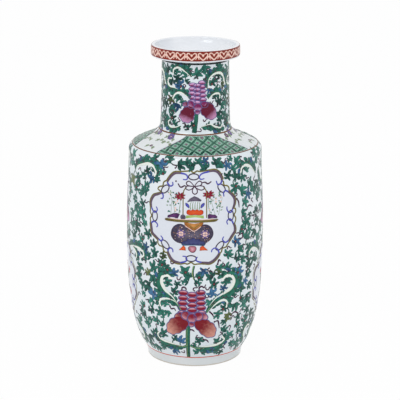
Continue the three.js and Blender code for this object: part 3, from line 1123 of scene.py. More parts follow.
@dataclass(frozen=True)
class Scroll:
    """An acanthus scroll: a pale band that ends in a curl, backed by a green band with pointed lobes."""

    points: tuple[Point, ...] | Array
    width: float = 4.6
    back: float = 6.4
    lobe: float = 8.5
    heart: float = 0.72

    def line(self, **move: Any) -> Array:
        """The middle line of the pale band, moved as `shifted` says."""
        return flow(shifted(self.points, **move), 1.4)

    def draw(self, brush: Brushwork, **move: Any) -> Array:
        """Draws the scroll, moved as `shifted` says, and returns the middle line of its green back."""
        size = move.get("scale", 1.0)
        line = self.line(**move)
        share = np.linspace(0, 1, len(line))
        width = size * self.width * np.interp(share, [0, 0.25, 0.6, 0.88, 1], [0.05, 0.45, 1, 0.85, 0.5])
        thick = size * self.back * np.interp(share, [0, 0.25, 0.55, 0.85, 1], [0.4, 0.85, 1.15, 0.6, 0.1])
        out = -turning(line)
        spine = beside(line, out * (width + thick) * 0.47)
        brush[Finish.HOOK_EDGE].stroke(spine, thick + 1.0, crown=0.1)
        brush[Finish.VINE].stroke(spine, thick, lift=0.04, tone=(0.1, 0.4), glow=0.25)
        reach = np.concatenate([[0], np.cumsum(np.linalg.norm(np.diff(spine, axis=0), axis=1))])
        ahead = unit(np.gradient(spine, axis=0))
        for turn, place in enumerate(np.arange(4.0 * size, reach[-1] - size, 5.8 * size)):
            index = int(np.searchsorted(reach, place))
            way = ahead[index]
            aside = quarter(way) * out
            long = size * self.lobe * (1.0 if turn % 2 else 0.7)
            edge = thick[index] / 2
            base = spine[index] + aside * edge * 0.3
            lobe = flow([base - way * 2 * size, base + aside * (edge + long * 0.2) + way * long * 0.02,
                         base + aside * (edge * 0.7 + long * 0.55) + way * long * 0.6], 2.0)
            brush[Finish.INK].stroke(lobe, LOBE * 5.2 * size + 1.1, crown=0.1)
            fill = Finish.TEAL if turn % 5 == 3 else Finish.GREEN
            brush[fill].stroke(lobe, LOBE * 5.2 * size, crown=0.18, lift=0.05, tone=(-0.1, 0.5), glow=0.25)
            if turn % 3 == 1:
                draw_curl(brush, flow(shifted(CURL, *base, scale=0.55 * size, turn=60.0 * turn), 1.0), 0.7)
        brush[Finish.HOOK_EDGE].stroke(beside(line, out * 0.3), width + 0.7, crown=0.1, lift=0.06)
        brush[Finish.CREAM].stroke(line, width, lift=0.12, tone=(0.0, 0.8), glow=0.2)
        brush[Finish.CREAM].dot(line[-1], width[-1] * 0.75, lift=0.12, tone=(0.5, 1.0))
        heart = line[-(len(line) // 3):].mean(axis=0)
        turn = 60 + np.degrees(np.arctan2(*(line[-1] - heart)[::-1]))
        draw_leaf(brush, BROAD_LEAF, Finish.GREEN, along=heart[0], up=heart[1], turn=turn,
                  scale=self.heart * size)
        return spine


@dataclass
class LeafField:
    """The close scrolling leaves that fill the wall between the panels and flowers."""

    name: str
    side: Side
    span: Point
    taken: Taken
    rng: np.random.Generator
    leaf_gap: float = 6.4
    leaf_size: float = 1.0
    scroll_reach: float = 20.0
    throws: int = 9000
    sectors: int = 2
    tint: Point = (-0.2, 0.4)
    anchors: list[Array] = field(default_factory=list)
    placed: list[Array] = field(default_factory=list)

    def place(self, leaves: Sequence[tuple[float, ...]], along: float) -> None:
        """Sets out listed leaves: along, up, turn, size, motif, and the colour unless it is green."""
        rows = np.array([(*leaf, 0)[:6] for leaf in leaves], float) + [along, 0, 0, 0, 0, 0]
        self.placed.append(rows)
        self.taken.add(rows[:, :2], self.leaf_gap * 0.9 * self.leaf_size)

    def grow(self, brush: Brushwork) -> None:
        """Draws scrolls by chance where the wall is clear, for the leaves to grow from."""
        span = (self.span[0] + 12, self.span[1] - 12)
        sweep = np.radians(np.linspace(0, 225, 6))
        radius = np.linspace(12.0, 5.6, 6)[:, None]
        for place in self.taken.fill(self.rng, span, self.scroll_reach, 5.0, 1500):
            angles = self.rng.uniform(0, TURN) + sweep
            curl = np.column_stack([np.cos(angles), np.sin(angles)]) * radius
            lead = curl[0] * 1.25 + (curl[0] - curl[1]) * 1.1
            scroll = Scroll(np.vstack([lead, curl]), width=4.0, back=5.0, lobe=7.5, heart=0.6)
            flip = self.rng.random() < 0.5
            move = {"along": place[0], "up": place[1], "flip": flip, "scale": self.leaf_size}
            self.note(scroll.draw(brush, **move), 3.8 * self.leaf_size)
            self.taken.add(scroll.line(**move)[::2], 2.6 * self.leaf_size)

    def note(self, line: Array, radius: float) -> None:
        """Marks a line as painted, with leaves that may grow from it."""
        self.taken.add(line[::2], radius)
        self.anchors.append(line[::3])

    def _rooted(self, places: Array) -> Array:
        """Finds the root of each leaf: the nearest scroll, or a leaf nearer to one."""
        anchors = np.vstack(self.anchors)
        gaps = np.linalg.norm(places[:, None] - anchors[None], axis=2)
        nearest, roots = gaps.min(axis=1), anchors[gaps.argmin(axis=1)]
        waiting = np.ones(len(places), bool)
        for _ in places:
            index = int(np.where(waiting, nearest, np.inf).argmin())
            waiting[index] = False
            reach = np.linalg.norm(places - places[index], axis=1)
            closer = waiting & (reach < nearest)
            nearest[closer] = reach[closer]
            roots[closer] = places[index]
        return roots

    def build(self, workshop: Workshop) -> None:
        """Sets out the leaves, their stems, the berries on them and the tendrils between them."""
        rng, size = self.rng, self.leaf_size
        places = self.taken.fill(rng, self.span, self.leaf_gap * size, self.leaf_gap * size, self.throws)
        placed = np.vstack(self.placed)
        chance = len(places)
        places = np.vstack([places, placed[:, :2]])
        roots = self._rooted(places)
        way = places - roots
        drawn = [
            np.degrees(np.arctan2(way[:, 1], way[:, 0]))[:chance] - 90 + rng.uniform(-40, 40, chance),
            size * rng.uniform(0.8, 1.08, chance),
            rng.integers(0, len(LEAVES), chance),
            rng.choice(3, chance, p=[0.89, 0.07, 0.04]),
        ]
        *looks, colour = np.vstack([np.column_stack(drawn), placed[:, 2:]]).T
        rows = np.column_stack([places, *looks, rng.uniform(*self.tint, len(places))])
        fine = Brushwork(self.name + "_stems")
        for place, root in zip(places, roots):
            if np.hypot(*(place - root)) < 22:
                middle = (place + root) / 2 + quarter(place - root) * rng.uniform(-0.3, 0.3)
                fine.line(Finish.VINE, [root, middle, place], [1.6 * size, 2.2 * size], 2.5, -0.02,
                          crown=0.12, tone=(0.0, 0.3))
            spot = place + rng.uniform(-1.8, 1.8, 2)
            if rng.random() < 0.13:
                fine[Finish.INK].dot(spot, 2.2 * size, crown=0.06, lift=0.2)
                fine[Finish.BERRY].dot(spot, 1.6 * size, crown=0.14, lift=0.26, tone=(0.0, 1.1))
            elif rng.random() < 0.3:
                curl = shifted(CURL[:4], *spot, scale=0.6 * size, turn=rng.uniform(0, 360))
                draw_curl(fine, flow(curl, 1.0), 0.75)
        for place in self.taken.fill(rng, self.span, 1.9 * size, 9.0 * size, 2500):
            turn, flip, scale = rng.uniform(0, 360), rng.random() < 0.5, size * rng.uniform(0.8, 1.1)
            draw_curl(fine, flow(shifted(CURL, *place, flip, scale, turn), 1.4), size)
        fine.lay(workshop, self.side)
        half = self.side.radius * math.pi
        sector = np.floor((places[:, 0] + half) / (2 * half) * self.sectors).astype(int) % self.sectors
        edges, fills = ([motif(lobes, flip, edge) for lobes, flip in LEAVES] for edge in (True, False))
        green = colour == 0
        groups = [(f"{title}_{part + 1}", motifs, (sector == part) & kept, finish)
                  for part in range(self.sectors)
                  for title, motifs, kept, finish in (("edges", edges, True, Finish.INK),
                                                      ("green", fills, green, Finish.GREEN))]
        groups += [("teal", fills, colour == 1, Finish.TEAL),
                   ("olive", fills, colour == 2, Finish.OLIVE_LEAF)]
        for title, motifs, kept, finish in groups:
            self.side.set_out(workshop, f"{self.name}_{title}", motifs, rows[kept], finish)


@dataclass(frozen=True)
class Link:
    """A link of a lobed frame: its almond, and the hooks that the lines beside it end in."""

    middle: Point
    turn: float
    hook_before: tuple[Point, ...]
    hook_after: tuple[Point, ...]


@dataclass
class Medallion:
    """A large round panel of eight lobes, with a chain link where each two lobes meet."""

    lobes: tuple[tuple[Point, ...], ...] = (
        ((55, 236), (58, 243), (58, 250), (54, 256), (48, 261)),
        ((39, 278), (37, 283), (33, 289), (27, 292), (20, 291.5)),
        ((-20, 289), (-28, 288.5), (-33, 285), (-37, 280), (-40, 275)),
        ((-48, 259), (-55, 256), (-60, 254), (-64, 249), (-66, 243), (-65, 236)),
        ((-65, 214), (-64, 207), (-63, 201), (-58, 197), (-52, 193)),
        ((-38, 178), (-36, 173), (-32, 167), (-27, 164), (-20, 163)),
        ((9, 164), (14, 163.5), (20, 163), (26, 166), (31, 171), (34, 176)),
        ((48, 192), (50, 194), (54, 199), (58, 204), (58, 210), (56, 215)),
    )
    links: tuple[Link, ...] = (
        Link((38, 267), -50, ((48, 261), (44, 263), (41, 260.5), (41.5, 255)),
             ((39, 278), (36, 273), (32, 273), (30, 278))),
        Link((-2, 284.5), 0, ((20, 291.5), (10, 289), (6, 284.5), (8, 281), (13, 282)),
             ((-20, 289), (-13, 287.5), (-10.5, 284), (-12, 280.5), (-17, 280.5))),
        Link((-43, 265), 45, ((-40, 275), (-38, 272), (-35, 270), (-31.5, 272), (-32, 276)),
             ((-48, 259), (-46, 256), (-46.5, 252), (-50, 251))),
        Link((-59, 225), 90, ((-65, 236), (-61, 230.5), (-57, 231), (-55, 235), (-57, 238.5)),
             ((-65, 214), (-61, 217), (-56.5, 216), (-54, 212.5), (-56, 209.5))),
        Link((-42, 187), -45, ((-52, 193), (-48, 191), (-46, 195), (-49, 198.5)),
             ((-38, 178), (-37, 181), (-34, 183), (-31, 181), (-30.5, 177))),
        Link((-5, 169.5), 0, ((-20, 163), (-13, 165), (-11, 168), (-12.5, 172), (-17, 172.5)),
             ((9, 164), (3.5, 165.5), (1.5, 168.5), (3.5, 172))),
        Link((35, 186), 45, ((34, 176), (32, 181), (28, 183.5), (24, 181.5), (23, 178)),
             ((48, 192), (44, 190), (40.5, 192), (39, 195.5), (41, 198.5))),
        Link((52, 227), 90, ((56, 215), (52.5, 221), (49, 222.5), (45.5, 219.5), (47, 215)),
             ((55, 236), (53, 232), (49, 232), (46, 236), (46, 240.5))),
    )
    centre: Point = (-3.5, 227.0)
    almond: Point = (7.2, 4.2)

    def draw(self, brush: Brushwork, frame: Brushwork, up: float = 0.0, scale: float = 1.0,
             margin: float = 2.3) -> None:
        """Draws the ground, the frame, the links and the olive line round them.

        Args:
            brush: Where the ground and the fine lines are drawn.
            frame: Where the lobes' thick lines are drawn.
            up: How far the medallion moves up.
            scale: Its size.
            margin: How far outside the lobes the olive line runs.
        """
        centre = np.array(self.centre)

        def placed(points: Sequence[Point] | Array) -> Array:
            """Moves points with the medallion."""
            return (np.array(points, float) - centre) * scale + centre + [0, up]

        outer, ground = [], []
        for lobe, link in zip(self.lobes, self.links):
            middle = np.array(link.middle)
            outward = (middle - centre) / np.linalg.norm(middle - centre)
            ground.extend([*lobe, middle + outward * 3.4])
            away = lobe - centre
            outer.extend(centre + away * (1 + margin / np.linalg.norm(away, axis=1, keepdims=True)))
            for across, out in ((-9, 7.6), (-4.5, 8.2), (0, 5.6), (4.5, 8.2), (9, 7.6)):
                outer.append(middle + quarter(outward) * across + outward * (out + margin - 2.3))
        inside, outside = placed(flow(ground, 2.5, closed=True)), placed(flow(outer, 1.6, closed=True))
        brush[Finish.LAVENDER].patch(inside, crown=0.07, centre=placed(centre))
        brush[Finish.OLIVE].stroke(outside, [2.2 * scale], crown=0.14, closed=True)
        for lobe in self.lobes:
            thick = [2.4, 3.2, 3.4, 3.2, 2.4]
            frame[Finish.FRAME].stroke(placed(flow(lobe, 1.3)), thick, crown=0.3, lift=0.08)
        for link in self.links:
            almond = shifted(ring(1.0, 24) * self.almond, *link.middle, turn=link.turn)
            brush[Finish.LINK].stroke(placed(almond), [1.7 * scale], lift=0.1, closed=True)
            for hook in (link.hook_before, link.hook_after):
                brush[Finish.BLUE].stroke(placed(flow(hook, 1.0)), [2.6, 2.2, 1.9, 1.5], lift=0.12)


@dataclass
class FlowerBasket:
    """The hanging basket of flowers in a medallion: bow, handle, tray, flowers and footed bowl."""

    bow: tuple[tuple[Point, ...], ...] = (
        ((-1, 271), (-5, 276), (-9, 278.4), (-12, 276), (-11, 273), (-6, 271.5), (-1, 271)),
        ((-1, 271), (2, 275.5), (6, 278.6), (9, 277), (9, 273.6), (5, 271.8), (-1, 271)),
        ((-1, 271), (-5, 267.3), (-9, 266), (-13, 268), (-12, 271), (-7, 271.6), (-1, 271)),
        ((-1, 271), (6, 272), (12, 271), (13, 268), (9, 266), (4, 267.5), (-1, 271)),
        ((-1, 271), (-3.6, 266), (-3, 262), (0, 260.4), (3, 262.6), (2.6, 267), (-1, 271)),
    )
    tails: tuple[tuple[Point, ...], ...] = (
        ((-12, 271), (-15, 271.8), (-18, 270), (-21, 270), (-24, 274.5)),
        ((9, 276), (14, 276.8), (18, 274.5), (23, 277.5)),
    )
    handle: tuple[tuple[Point, ...], ...] = (
        ((-12, 270), (-15.5, 265), (-16.5, 258), (-16.5, 245), (-16.5, 229)),
        ((12, 270), (15.5, 265), (16.2, 258), (16.2, 245), (16.2, 227)),
    )
    bowl: tuple[Point, ...] = (
        (-4, 211), (-12, 215), (-20, 218), (-28, 215), (-32.5, 208), (-32.5, 200), (-27, 193.5), (-19, 191),
        (-4, 190), (11, 191), (18, 193.5), (24, 200), (25, 207), (21, 214.5), (14, 217.6), (6, 215.5),
    )
    scalloped: tuple[Point, ...] = (
        (-17, 190), (13, 190), (12, 194), (8, 194.6), (6, 198), (2, 197), (-2, 199.6), (-6, 197), (-10, 198),
        (-12, 194.6), (-16, 194),
    )
    tray: tuple[Point, ...] = (
        (-42, 223), (-40, 221.6), (-20, 221), (10, 221), (28, 221.4), (31, 223), (31, 224.4), (10, 223.8),
        (-20, 223.8), (-40, 224.6),
    )
    band: tuple[Point, ...] = (
        (-11, 233), (-7, 231.4), (0, 231.8), (7, 231.4), (11, 233), (11, 237), (8, 238.4), (5.5, 237.4),
        (3, 239), (0, 237.8), (-3, 239), (-5.5, 237.4), (-8, 238.6), (-11, 237),
    )
    mounds: tuple[tuple[Point, ...], ...] = (
        ((-39, 226), (-24, 226), (-21, 232), (-25, 233), (-30, 232.4), (-34, 230.4), (-38, 229)),
        ((18, 226), (31, 226), (31, 228), (28, 230.6), (24, 231), (20, 232.4), (18, 231)),
    )

    def draw(self, brush: Brushwork, rng: np.random.Generator) -> None:
        """Draws the basket where the brush is, with small sprays by chance."""
        for finish, lines, widths in ((Finish.SQUIGGLE, self.bow, [1.1, 1.6, 1.3]),
                                      (Finish.SQUIGGLE, self.tails, [1.4, 2.2, 1.6]),
                                      (Finish.OLIVE, self.handle, [1.5])):
            for points in lines:
                brush.line(finish, points, widths)
        brush[Finish.SQUIGGLE].dot((-27, 277.5), 1.3, lift=0.06)
        self._bowl(brush, rng)
        self._flowers(brush)
        self._sprays(brush, rng)

    def _bowl(self, brush: Brushwork, rng: np.random.Generator) -> None:
        """Draws the flecked bowl with its roundels, panel, foot and collar, and the tray."""
        brush.outlined(self.bowl, Finish.SLATE, Finish.LINK, 1.0, 0.06, 2.0, tone=(0.0, 0.9),
                       centre=(-4, 203))
        for x, y in ((-19, 204.5), (14, 204)):
            brush[Finish.VIOLET].dot((x, y), 6.0, lift=0.24, sides=18)
            brush[Finish.RESERVE].dot((x, y), 4.0, lift=0.34, sides=14)
            for angle in range(0, 360, 60):
                brush[Finish.RESERVE].dot((x, y) + 5.4 * ray(angle), 0.8, lift=0.34, sides=6)
            brush.line(Finish.VIOLET, [(x - 3.4, y), (x + 3.4, y)], [0.7], lift=0.5)
            brush.line(Finish.VIOLET, [(x, y - 3.4), (x, y + 3.4)], [0.7], lift=0.5)
        for _ in range(130):
            x, y = rng.uniform(-31, 24), rng.uniform(192.5, 216)
            clear = min(abs(x + 19), abs(x - 14)) > 6.6 or abs(y - 204.2) > 6.6
            if clear and ((x + 4) / 27) ** 4 + ((y - 204) / 12.5) ** 4 < 0.9:
                finish = Finish.OCHRE if rng.random() < 0.5 else Finish.RESERVE
                brush[finish].dot((x, y), rng.uniform(0.35, 0.6), crown=0.08, lift=0.22, sides=6)
        brush.outlined(self.scalloped, Finish.NAVY, Finish.LINK, 0.7, 0.22, 1.6, tone=(0.2, 0.9),
                       centre=(-2, 193))
        brush[Finish.TEAL].patch([(-17, 187.6), (13, 187.6), (15, 190.4), (-19, 190.4)], lift=0.24)
        for foot in (((-22, 181), (-12.5, 181), (-13, 185), (-15.5, 188)),
                     ((6.5, 181), (18, 181), (11, 188), (7.5, 186))):
            brush.outlined(foot, Finish.ORANGE, Finish.HOOK_EDGE, 0.5, 0.06, tone=(0.2, 0.9))
        pendant = ((-9, 184), (-7, 180), (-3, 178), (0.6, 180), (2, 184), (0, 187), (-7, 187))
        brush.outlined(pendant, Finish.TIER, Finish.LINK, 0.6, 0.06, 1.5, tone=(0.1, 0.9))
        collar = ((-15, 221), (-13.5, 216), (-8, 213), (-1.5, 209), (5, 212.6), (10, 216), (12, 221))
        brush.outlined(collar, Finish.OCHRE, Finish.LINK, 0.7, 0.22, tone=(0.0, 1.0), centre=(-1.5, 217))
        trim = ((-14, 216.5), (-8, 212.4), (-1.5, 208.6), (4.5, 212), (8, 215))
        brush.line(Finish.RESERVE, trim, [1.0], lift=0.4)
        brush.line(Finish.OLIVE, [(-9, 218), (-1.5, 213), (6, 218)], [0.9], lift=0.4)
        brush.outlined(self.tray, Finish.OLIVE, Finish.HOOK_EDGE, 0.6, 0.3, 2.5, tone=(0.1, 0.8))
        brush.line(Finish.RESERVE, [(-36, 225), (-20, 224.6), (10, 224.6), (26, 225)], [0.9], lift=0.3)

    def _flowers(self, brush: Brushwork) -> None:
        """Draws the flower, mounds and rock in the middle of the basket."""
        peak = ((-11, 249), (-6, 250.5), (0, 251), (8, 250.5), (9, 252), (4, 255.5), (-1, 257.5), (-7, 254))
        brush.outlined(peak, Finish.SLATE, Finish.LINK, 0.5, 0.06, tone=(0.5, 1.0), centre=(-1, 252.6))
        for sign in (-1, 1):
            low = 10 * sign
            petal = ((low - 2 * sign, 241), (low + 2.4 * sign, 244), (low + 3 * sign, 248), (low - sign, 246))
            brush.outlined(petal, Finish.BLUE, Finish.LINK, 0.4, 0.08, 1.2, tone=(0.1, 0.9))
        for foot, top in ((-6, -5), (-3, -2.4), (0, 0.6), (3, 3.6), (6, 5.4)):
            brush.line(Finish.SPRIG, [(foot, 239), (foot * 1.1, 245), (top, 250)], [1.6, 1.2, 0.7])
        brush.outlined(self.band, Finish.ORANGE, Finish.IRON_RED, 0.7, 0.1, 1.5, tone=(0.0, 0.7),
                       centre=(0, 234.6))
        moss = ((-12.5, 226.4), (12.5, 226.4), (12, 230.6), (4, 231), (-4, 231), (-12, 230.6))
        brush[Finish.LIME].patch(moss, lift=0.06, tone=(0.2, 0.9))
        for mound in self.mounds:
            brush.outlined(mound, Finish.PLUM, Finish.LINK, 0.6, 0.08, tone=(0.1, 0.8))
        brush.outlined((-16.5, 228) + ring(3.4, 12), Finish.SLATE, Finish.LINK, 0.8, 0.12, tone=(0.9, 0.2))

    def _sprays(self, brush: Brushwork, rng: np.random.Generator) -> None:
        """Draws the two blossoms and the sprays beside them."""
        for middle, spread in (((-21, 257), 8.2), ((19, 259.5), 8.6)):
            spot = np.array(middle)
            for angle in np.arange(200, 560, 45) + rng.uniform(-8, 8, 8):
                way = ray(angle) * [1, 0.75] * spread
                petal = [spot, spot + way * 0.6, spot + way]
                brush[Finish.LINK].stroke(petal, [1.7, 3.4, 1.2], crown=0.08, lift=0.05)
                brush[Finish.TIER].stroke(petal, [1.2, 2.8, 0.6], lift=0.1, tone=(-0.2, 0.2))
            brush[Finish.TIER].dot(spot + [1, -3], 2.2, lift=0.2, tone=(0.0, 0.2))
            brush[Finish.OLIVE].dot(spot, 1.1, lift=0.3)
            brush.line(Finish.SPRIG, [spot, (spot[0] * 0.98, 244), (spot[0] * 1.1, 230)], [0.5])
        for low, high in ((-38, -19), (20, 37)):
            for foot in np.linspace(low + 4, high - 4, 3):
                tip = (foot + rng.uniform(-7, 7), rng.uniform(248, 262))
                bend = ((foot + tip[0]) / 2 + rng.uniform(-2, 2), 240)
                brush.line(Finish.SPRIG, [(foot, 230), bend, tip], [0.6, 0.45])
            for _ in range(34):
                spot = np.array((rng.uniform(low, high), rng.uniform(233, 262)))
                tip = spot + ray(rng.uniform(0, 360)) * rng.uniform(2.2, 3.4)
                tones = (rng.uniform(0, 0.6), rng.uniform(0.4, 1.0))
                finish = Finish.GREEN if rng.random() < 0.35 else Finish.SPRIG
                brush[finish].stroke([spot, (spot + tip) / 2, tip], [0.7, 2.1, 0.5], lift=0.05, tone=tones)
            for _ in range(5):
                spot = (rng.uniform(low, high), rng.uniform(234, 260))
                brush[Finish.RESERVE].dot(spot, 1.3, lift=0.08, sides=8)


@dataclass
class Lotus:
    """A lotus seen from the side: a tiered crown over two great drooping petals."""

    axis: float = -3.0
    crown_foot: float = 92.0
    petal: Finish = Finish.PETAL
    tier: Finish = Finish.TIER
    left: tuple[Point, ...] = (
        (-9, -14), (-17, -9), (-25, -11), (-32, -15), (-37, -21), (-40, -28), (-39.5, -35), (-33, -38),
        (-25, -36), (-17, -32), (-10, -26), (-7, -21),
    )
    right: tuple[Point, ...] = (
        (7, -13), (15, -12), (23, -16), (30, -21), (34, -26), (36, -34), (34, -40), (27, -42),
        (19, -39), (12, -33), (6, -26), (3, -20),
    )
    ways: tuple[tuple[Point, Point], ...] = (((-9, -14), (-40, -36)), ((6, -13), (35, -41)))
    columns: tuple[Point, ...] = ((-13.0, 27.0), (11.2, 27.6), (-0.4, 24.6))
    pitch: float = 7.7
    tiers: int = 5
    spread: float = 0.035
    scallop: Point = (6.8, 3.9)
    small: tuple[tuple[float, float, float, float, float], ...] = (
        (-20, -8, 7.4, 4.6, 30), (16, -8, 7.4, 4.6, -34), (-10, -7, 6.6, 6.6, 10), (8.6, -8, 6.6, 6.6, -10),
        (-1, -11, 6.6, 7.2, 0), (-1.6, -20.5, 4.2, 4.0, 0))
    edge: float = 1.4
    petal_tone: tuple[float, ...] = (-0.2, -0.04, 0.18, 0.68, 1.0)
    tier_tone: tuple[float, ...] = (-0.4, -0.1, 1.4)

    def draw(self, brush: Brushwork, taken: Taken, along: float = 0.0) -> None:
        """Draws the lotus and marks its place.

        Args:
            brush: Where it is drawn.
            taken: The places that are painted.
            along: How far it moves along the wall.
        """
        origin = np.array([self.axis + along, self.crown_foot])
        for outline, (root, tip) in zip((self.left, self.right), self.ways):
            line = flow(np.array(outline) + origin, 1.6, closed=True)
            share = np.linspace(0, 1, len(line), endpoint=False)
            bumps = beside(line, -turning(line) * 1.3 * np.abs(np.sin(share * math.pi * 9)))
            start, way = origin + root, np.subtract(tip, root)
            self._shape(brush, self.petal, bumps, start, start + way, crown=0.3, tone=self.petal_tone)
            for spread in (-0.5, -0.17, 0.17, 0.5):
                aside = quarter(way) * spread * 0.36
                vein = [start + way * s + aside * a for s, a in ((0.14, 0.4), (0.5, 1.0), (0.82, 0.9))]
                brush.line(self.petal, vein, [0.3, 1.4, 0.2], 2.5, 0.24, crown=0.06, tone=(0.0, 0.6))
            taken.add(line, 2.0)
            taken.add(line * 0.5 + line.mean(axis=0) * 0.5, 5.0)
        circle = ring(1.0, 18)
        for index, (x, y, wide, high, turn) in enumerate(self.small):
            outline = shifted(circle * [wide, high], *(origin + [x, y]), turn=turn)
            finish = self.tier if index else self.petal
            self._shape(brush, finish, outline, origin + [x * 0.6, y + high], origin + [x * 1.3, y - high],
                        lift=0.08 + 0.03 * index, tone=(-0.2, 0.1, 0.9))
        rise = np.array([0, self.scallop[1]])
        for column, (x, top) in enumerate(self.columns):
            for step in range(self.tiers):
                middle = origin + [x * (1 + self.spread * step), top - self.pitch * step]
                self._shape(brush, self.tier, circle * self.scallop + middle, middle - rise, middle + rise,
                            crown=0.1, lift=0.06 + 0.04 * (column == 2), tone=self.tier_tone)
                taken.add([middle], 5.6)
        taken.add(np.array([(-24, -6), (20, -6), (-3, -14)]) + origin, 4.5)

    def _shape(self, brush: Brushwork, finish: Finish, outline: Array, start: Array, end: Array,
               lift: float = 0.02, **how: Any) -> None:
        """Draws one petal whose tone runs from a start to an end, in its violet outline."""
        brush.outlined(outline, finish, Finish.VIOLET, self.edge, lift, axis=(start, end), **how)


def small_lotus(axis: float, crown_foot: float) -> Lotus:
    """The smaller, ruby lotus of the neck and the sides.

    Args:
        axis: Its middle along the wall.
        crown_foot: The height of its crown's foot.

    Returns:
        The lotus.
    """
    return Lotus(
        axis, crown_foot, Finish.RUBY, Finish.PINK,
        left=((-8, -2), (-13, -3), (-19, -6.5), (-23, -12), (-24.5, -17), (-21, -22), (-16, -24.5),
              (-10, -23.5), (-6, -19), (-5, -13), (-5.5, -6)),
        right=((3, -1), (9, 2), (16, 1.5), (22, -3), (25.5, -9), (27, -15), (24, -20), (17, -20.5), (11, -17),
               (5.5, -11)),
        ways=(((-10, -4), (-17, -27)), ((9, -2), (26, -21))),
        columns=((-6.6, 27.5), (6.2, 30.5), (-0.4, 26.5)),
        pitch=5.9, tiers=6, spread=0.05, scallop=(5.2, 2.8),
        small=((-16.5, 0.5, 4.6, 3.2, 20), (-9, 0, 4.6, 5.4, 4), (9.5, 0, 5.2, 4.4, -8),
               (0.5, -3.5, 5.6, 5.2, 0), (0, -10, 3.4, 3.2, 0)),
        edge=1.0, petal_tone=(-0.1, -0.25, 0.0, 0.6, 1.0), tier_tone=(-0.75, 0.45, 1.35))


def draw_stem(brush: Brushwork, line: Array, widths: Sequence[float], edge: float) -> None:
    """Draws a thick green stem along a line, with a dark edge round it."""
    brush[Finish.INK].stroke(line, [width + edge for width in widths], crown=0.08)
    brush[Finish.VINE].stroke(line, widths, crown=0.22, tone=(0.6, 0.1))


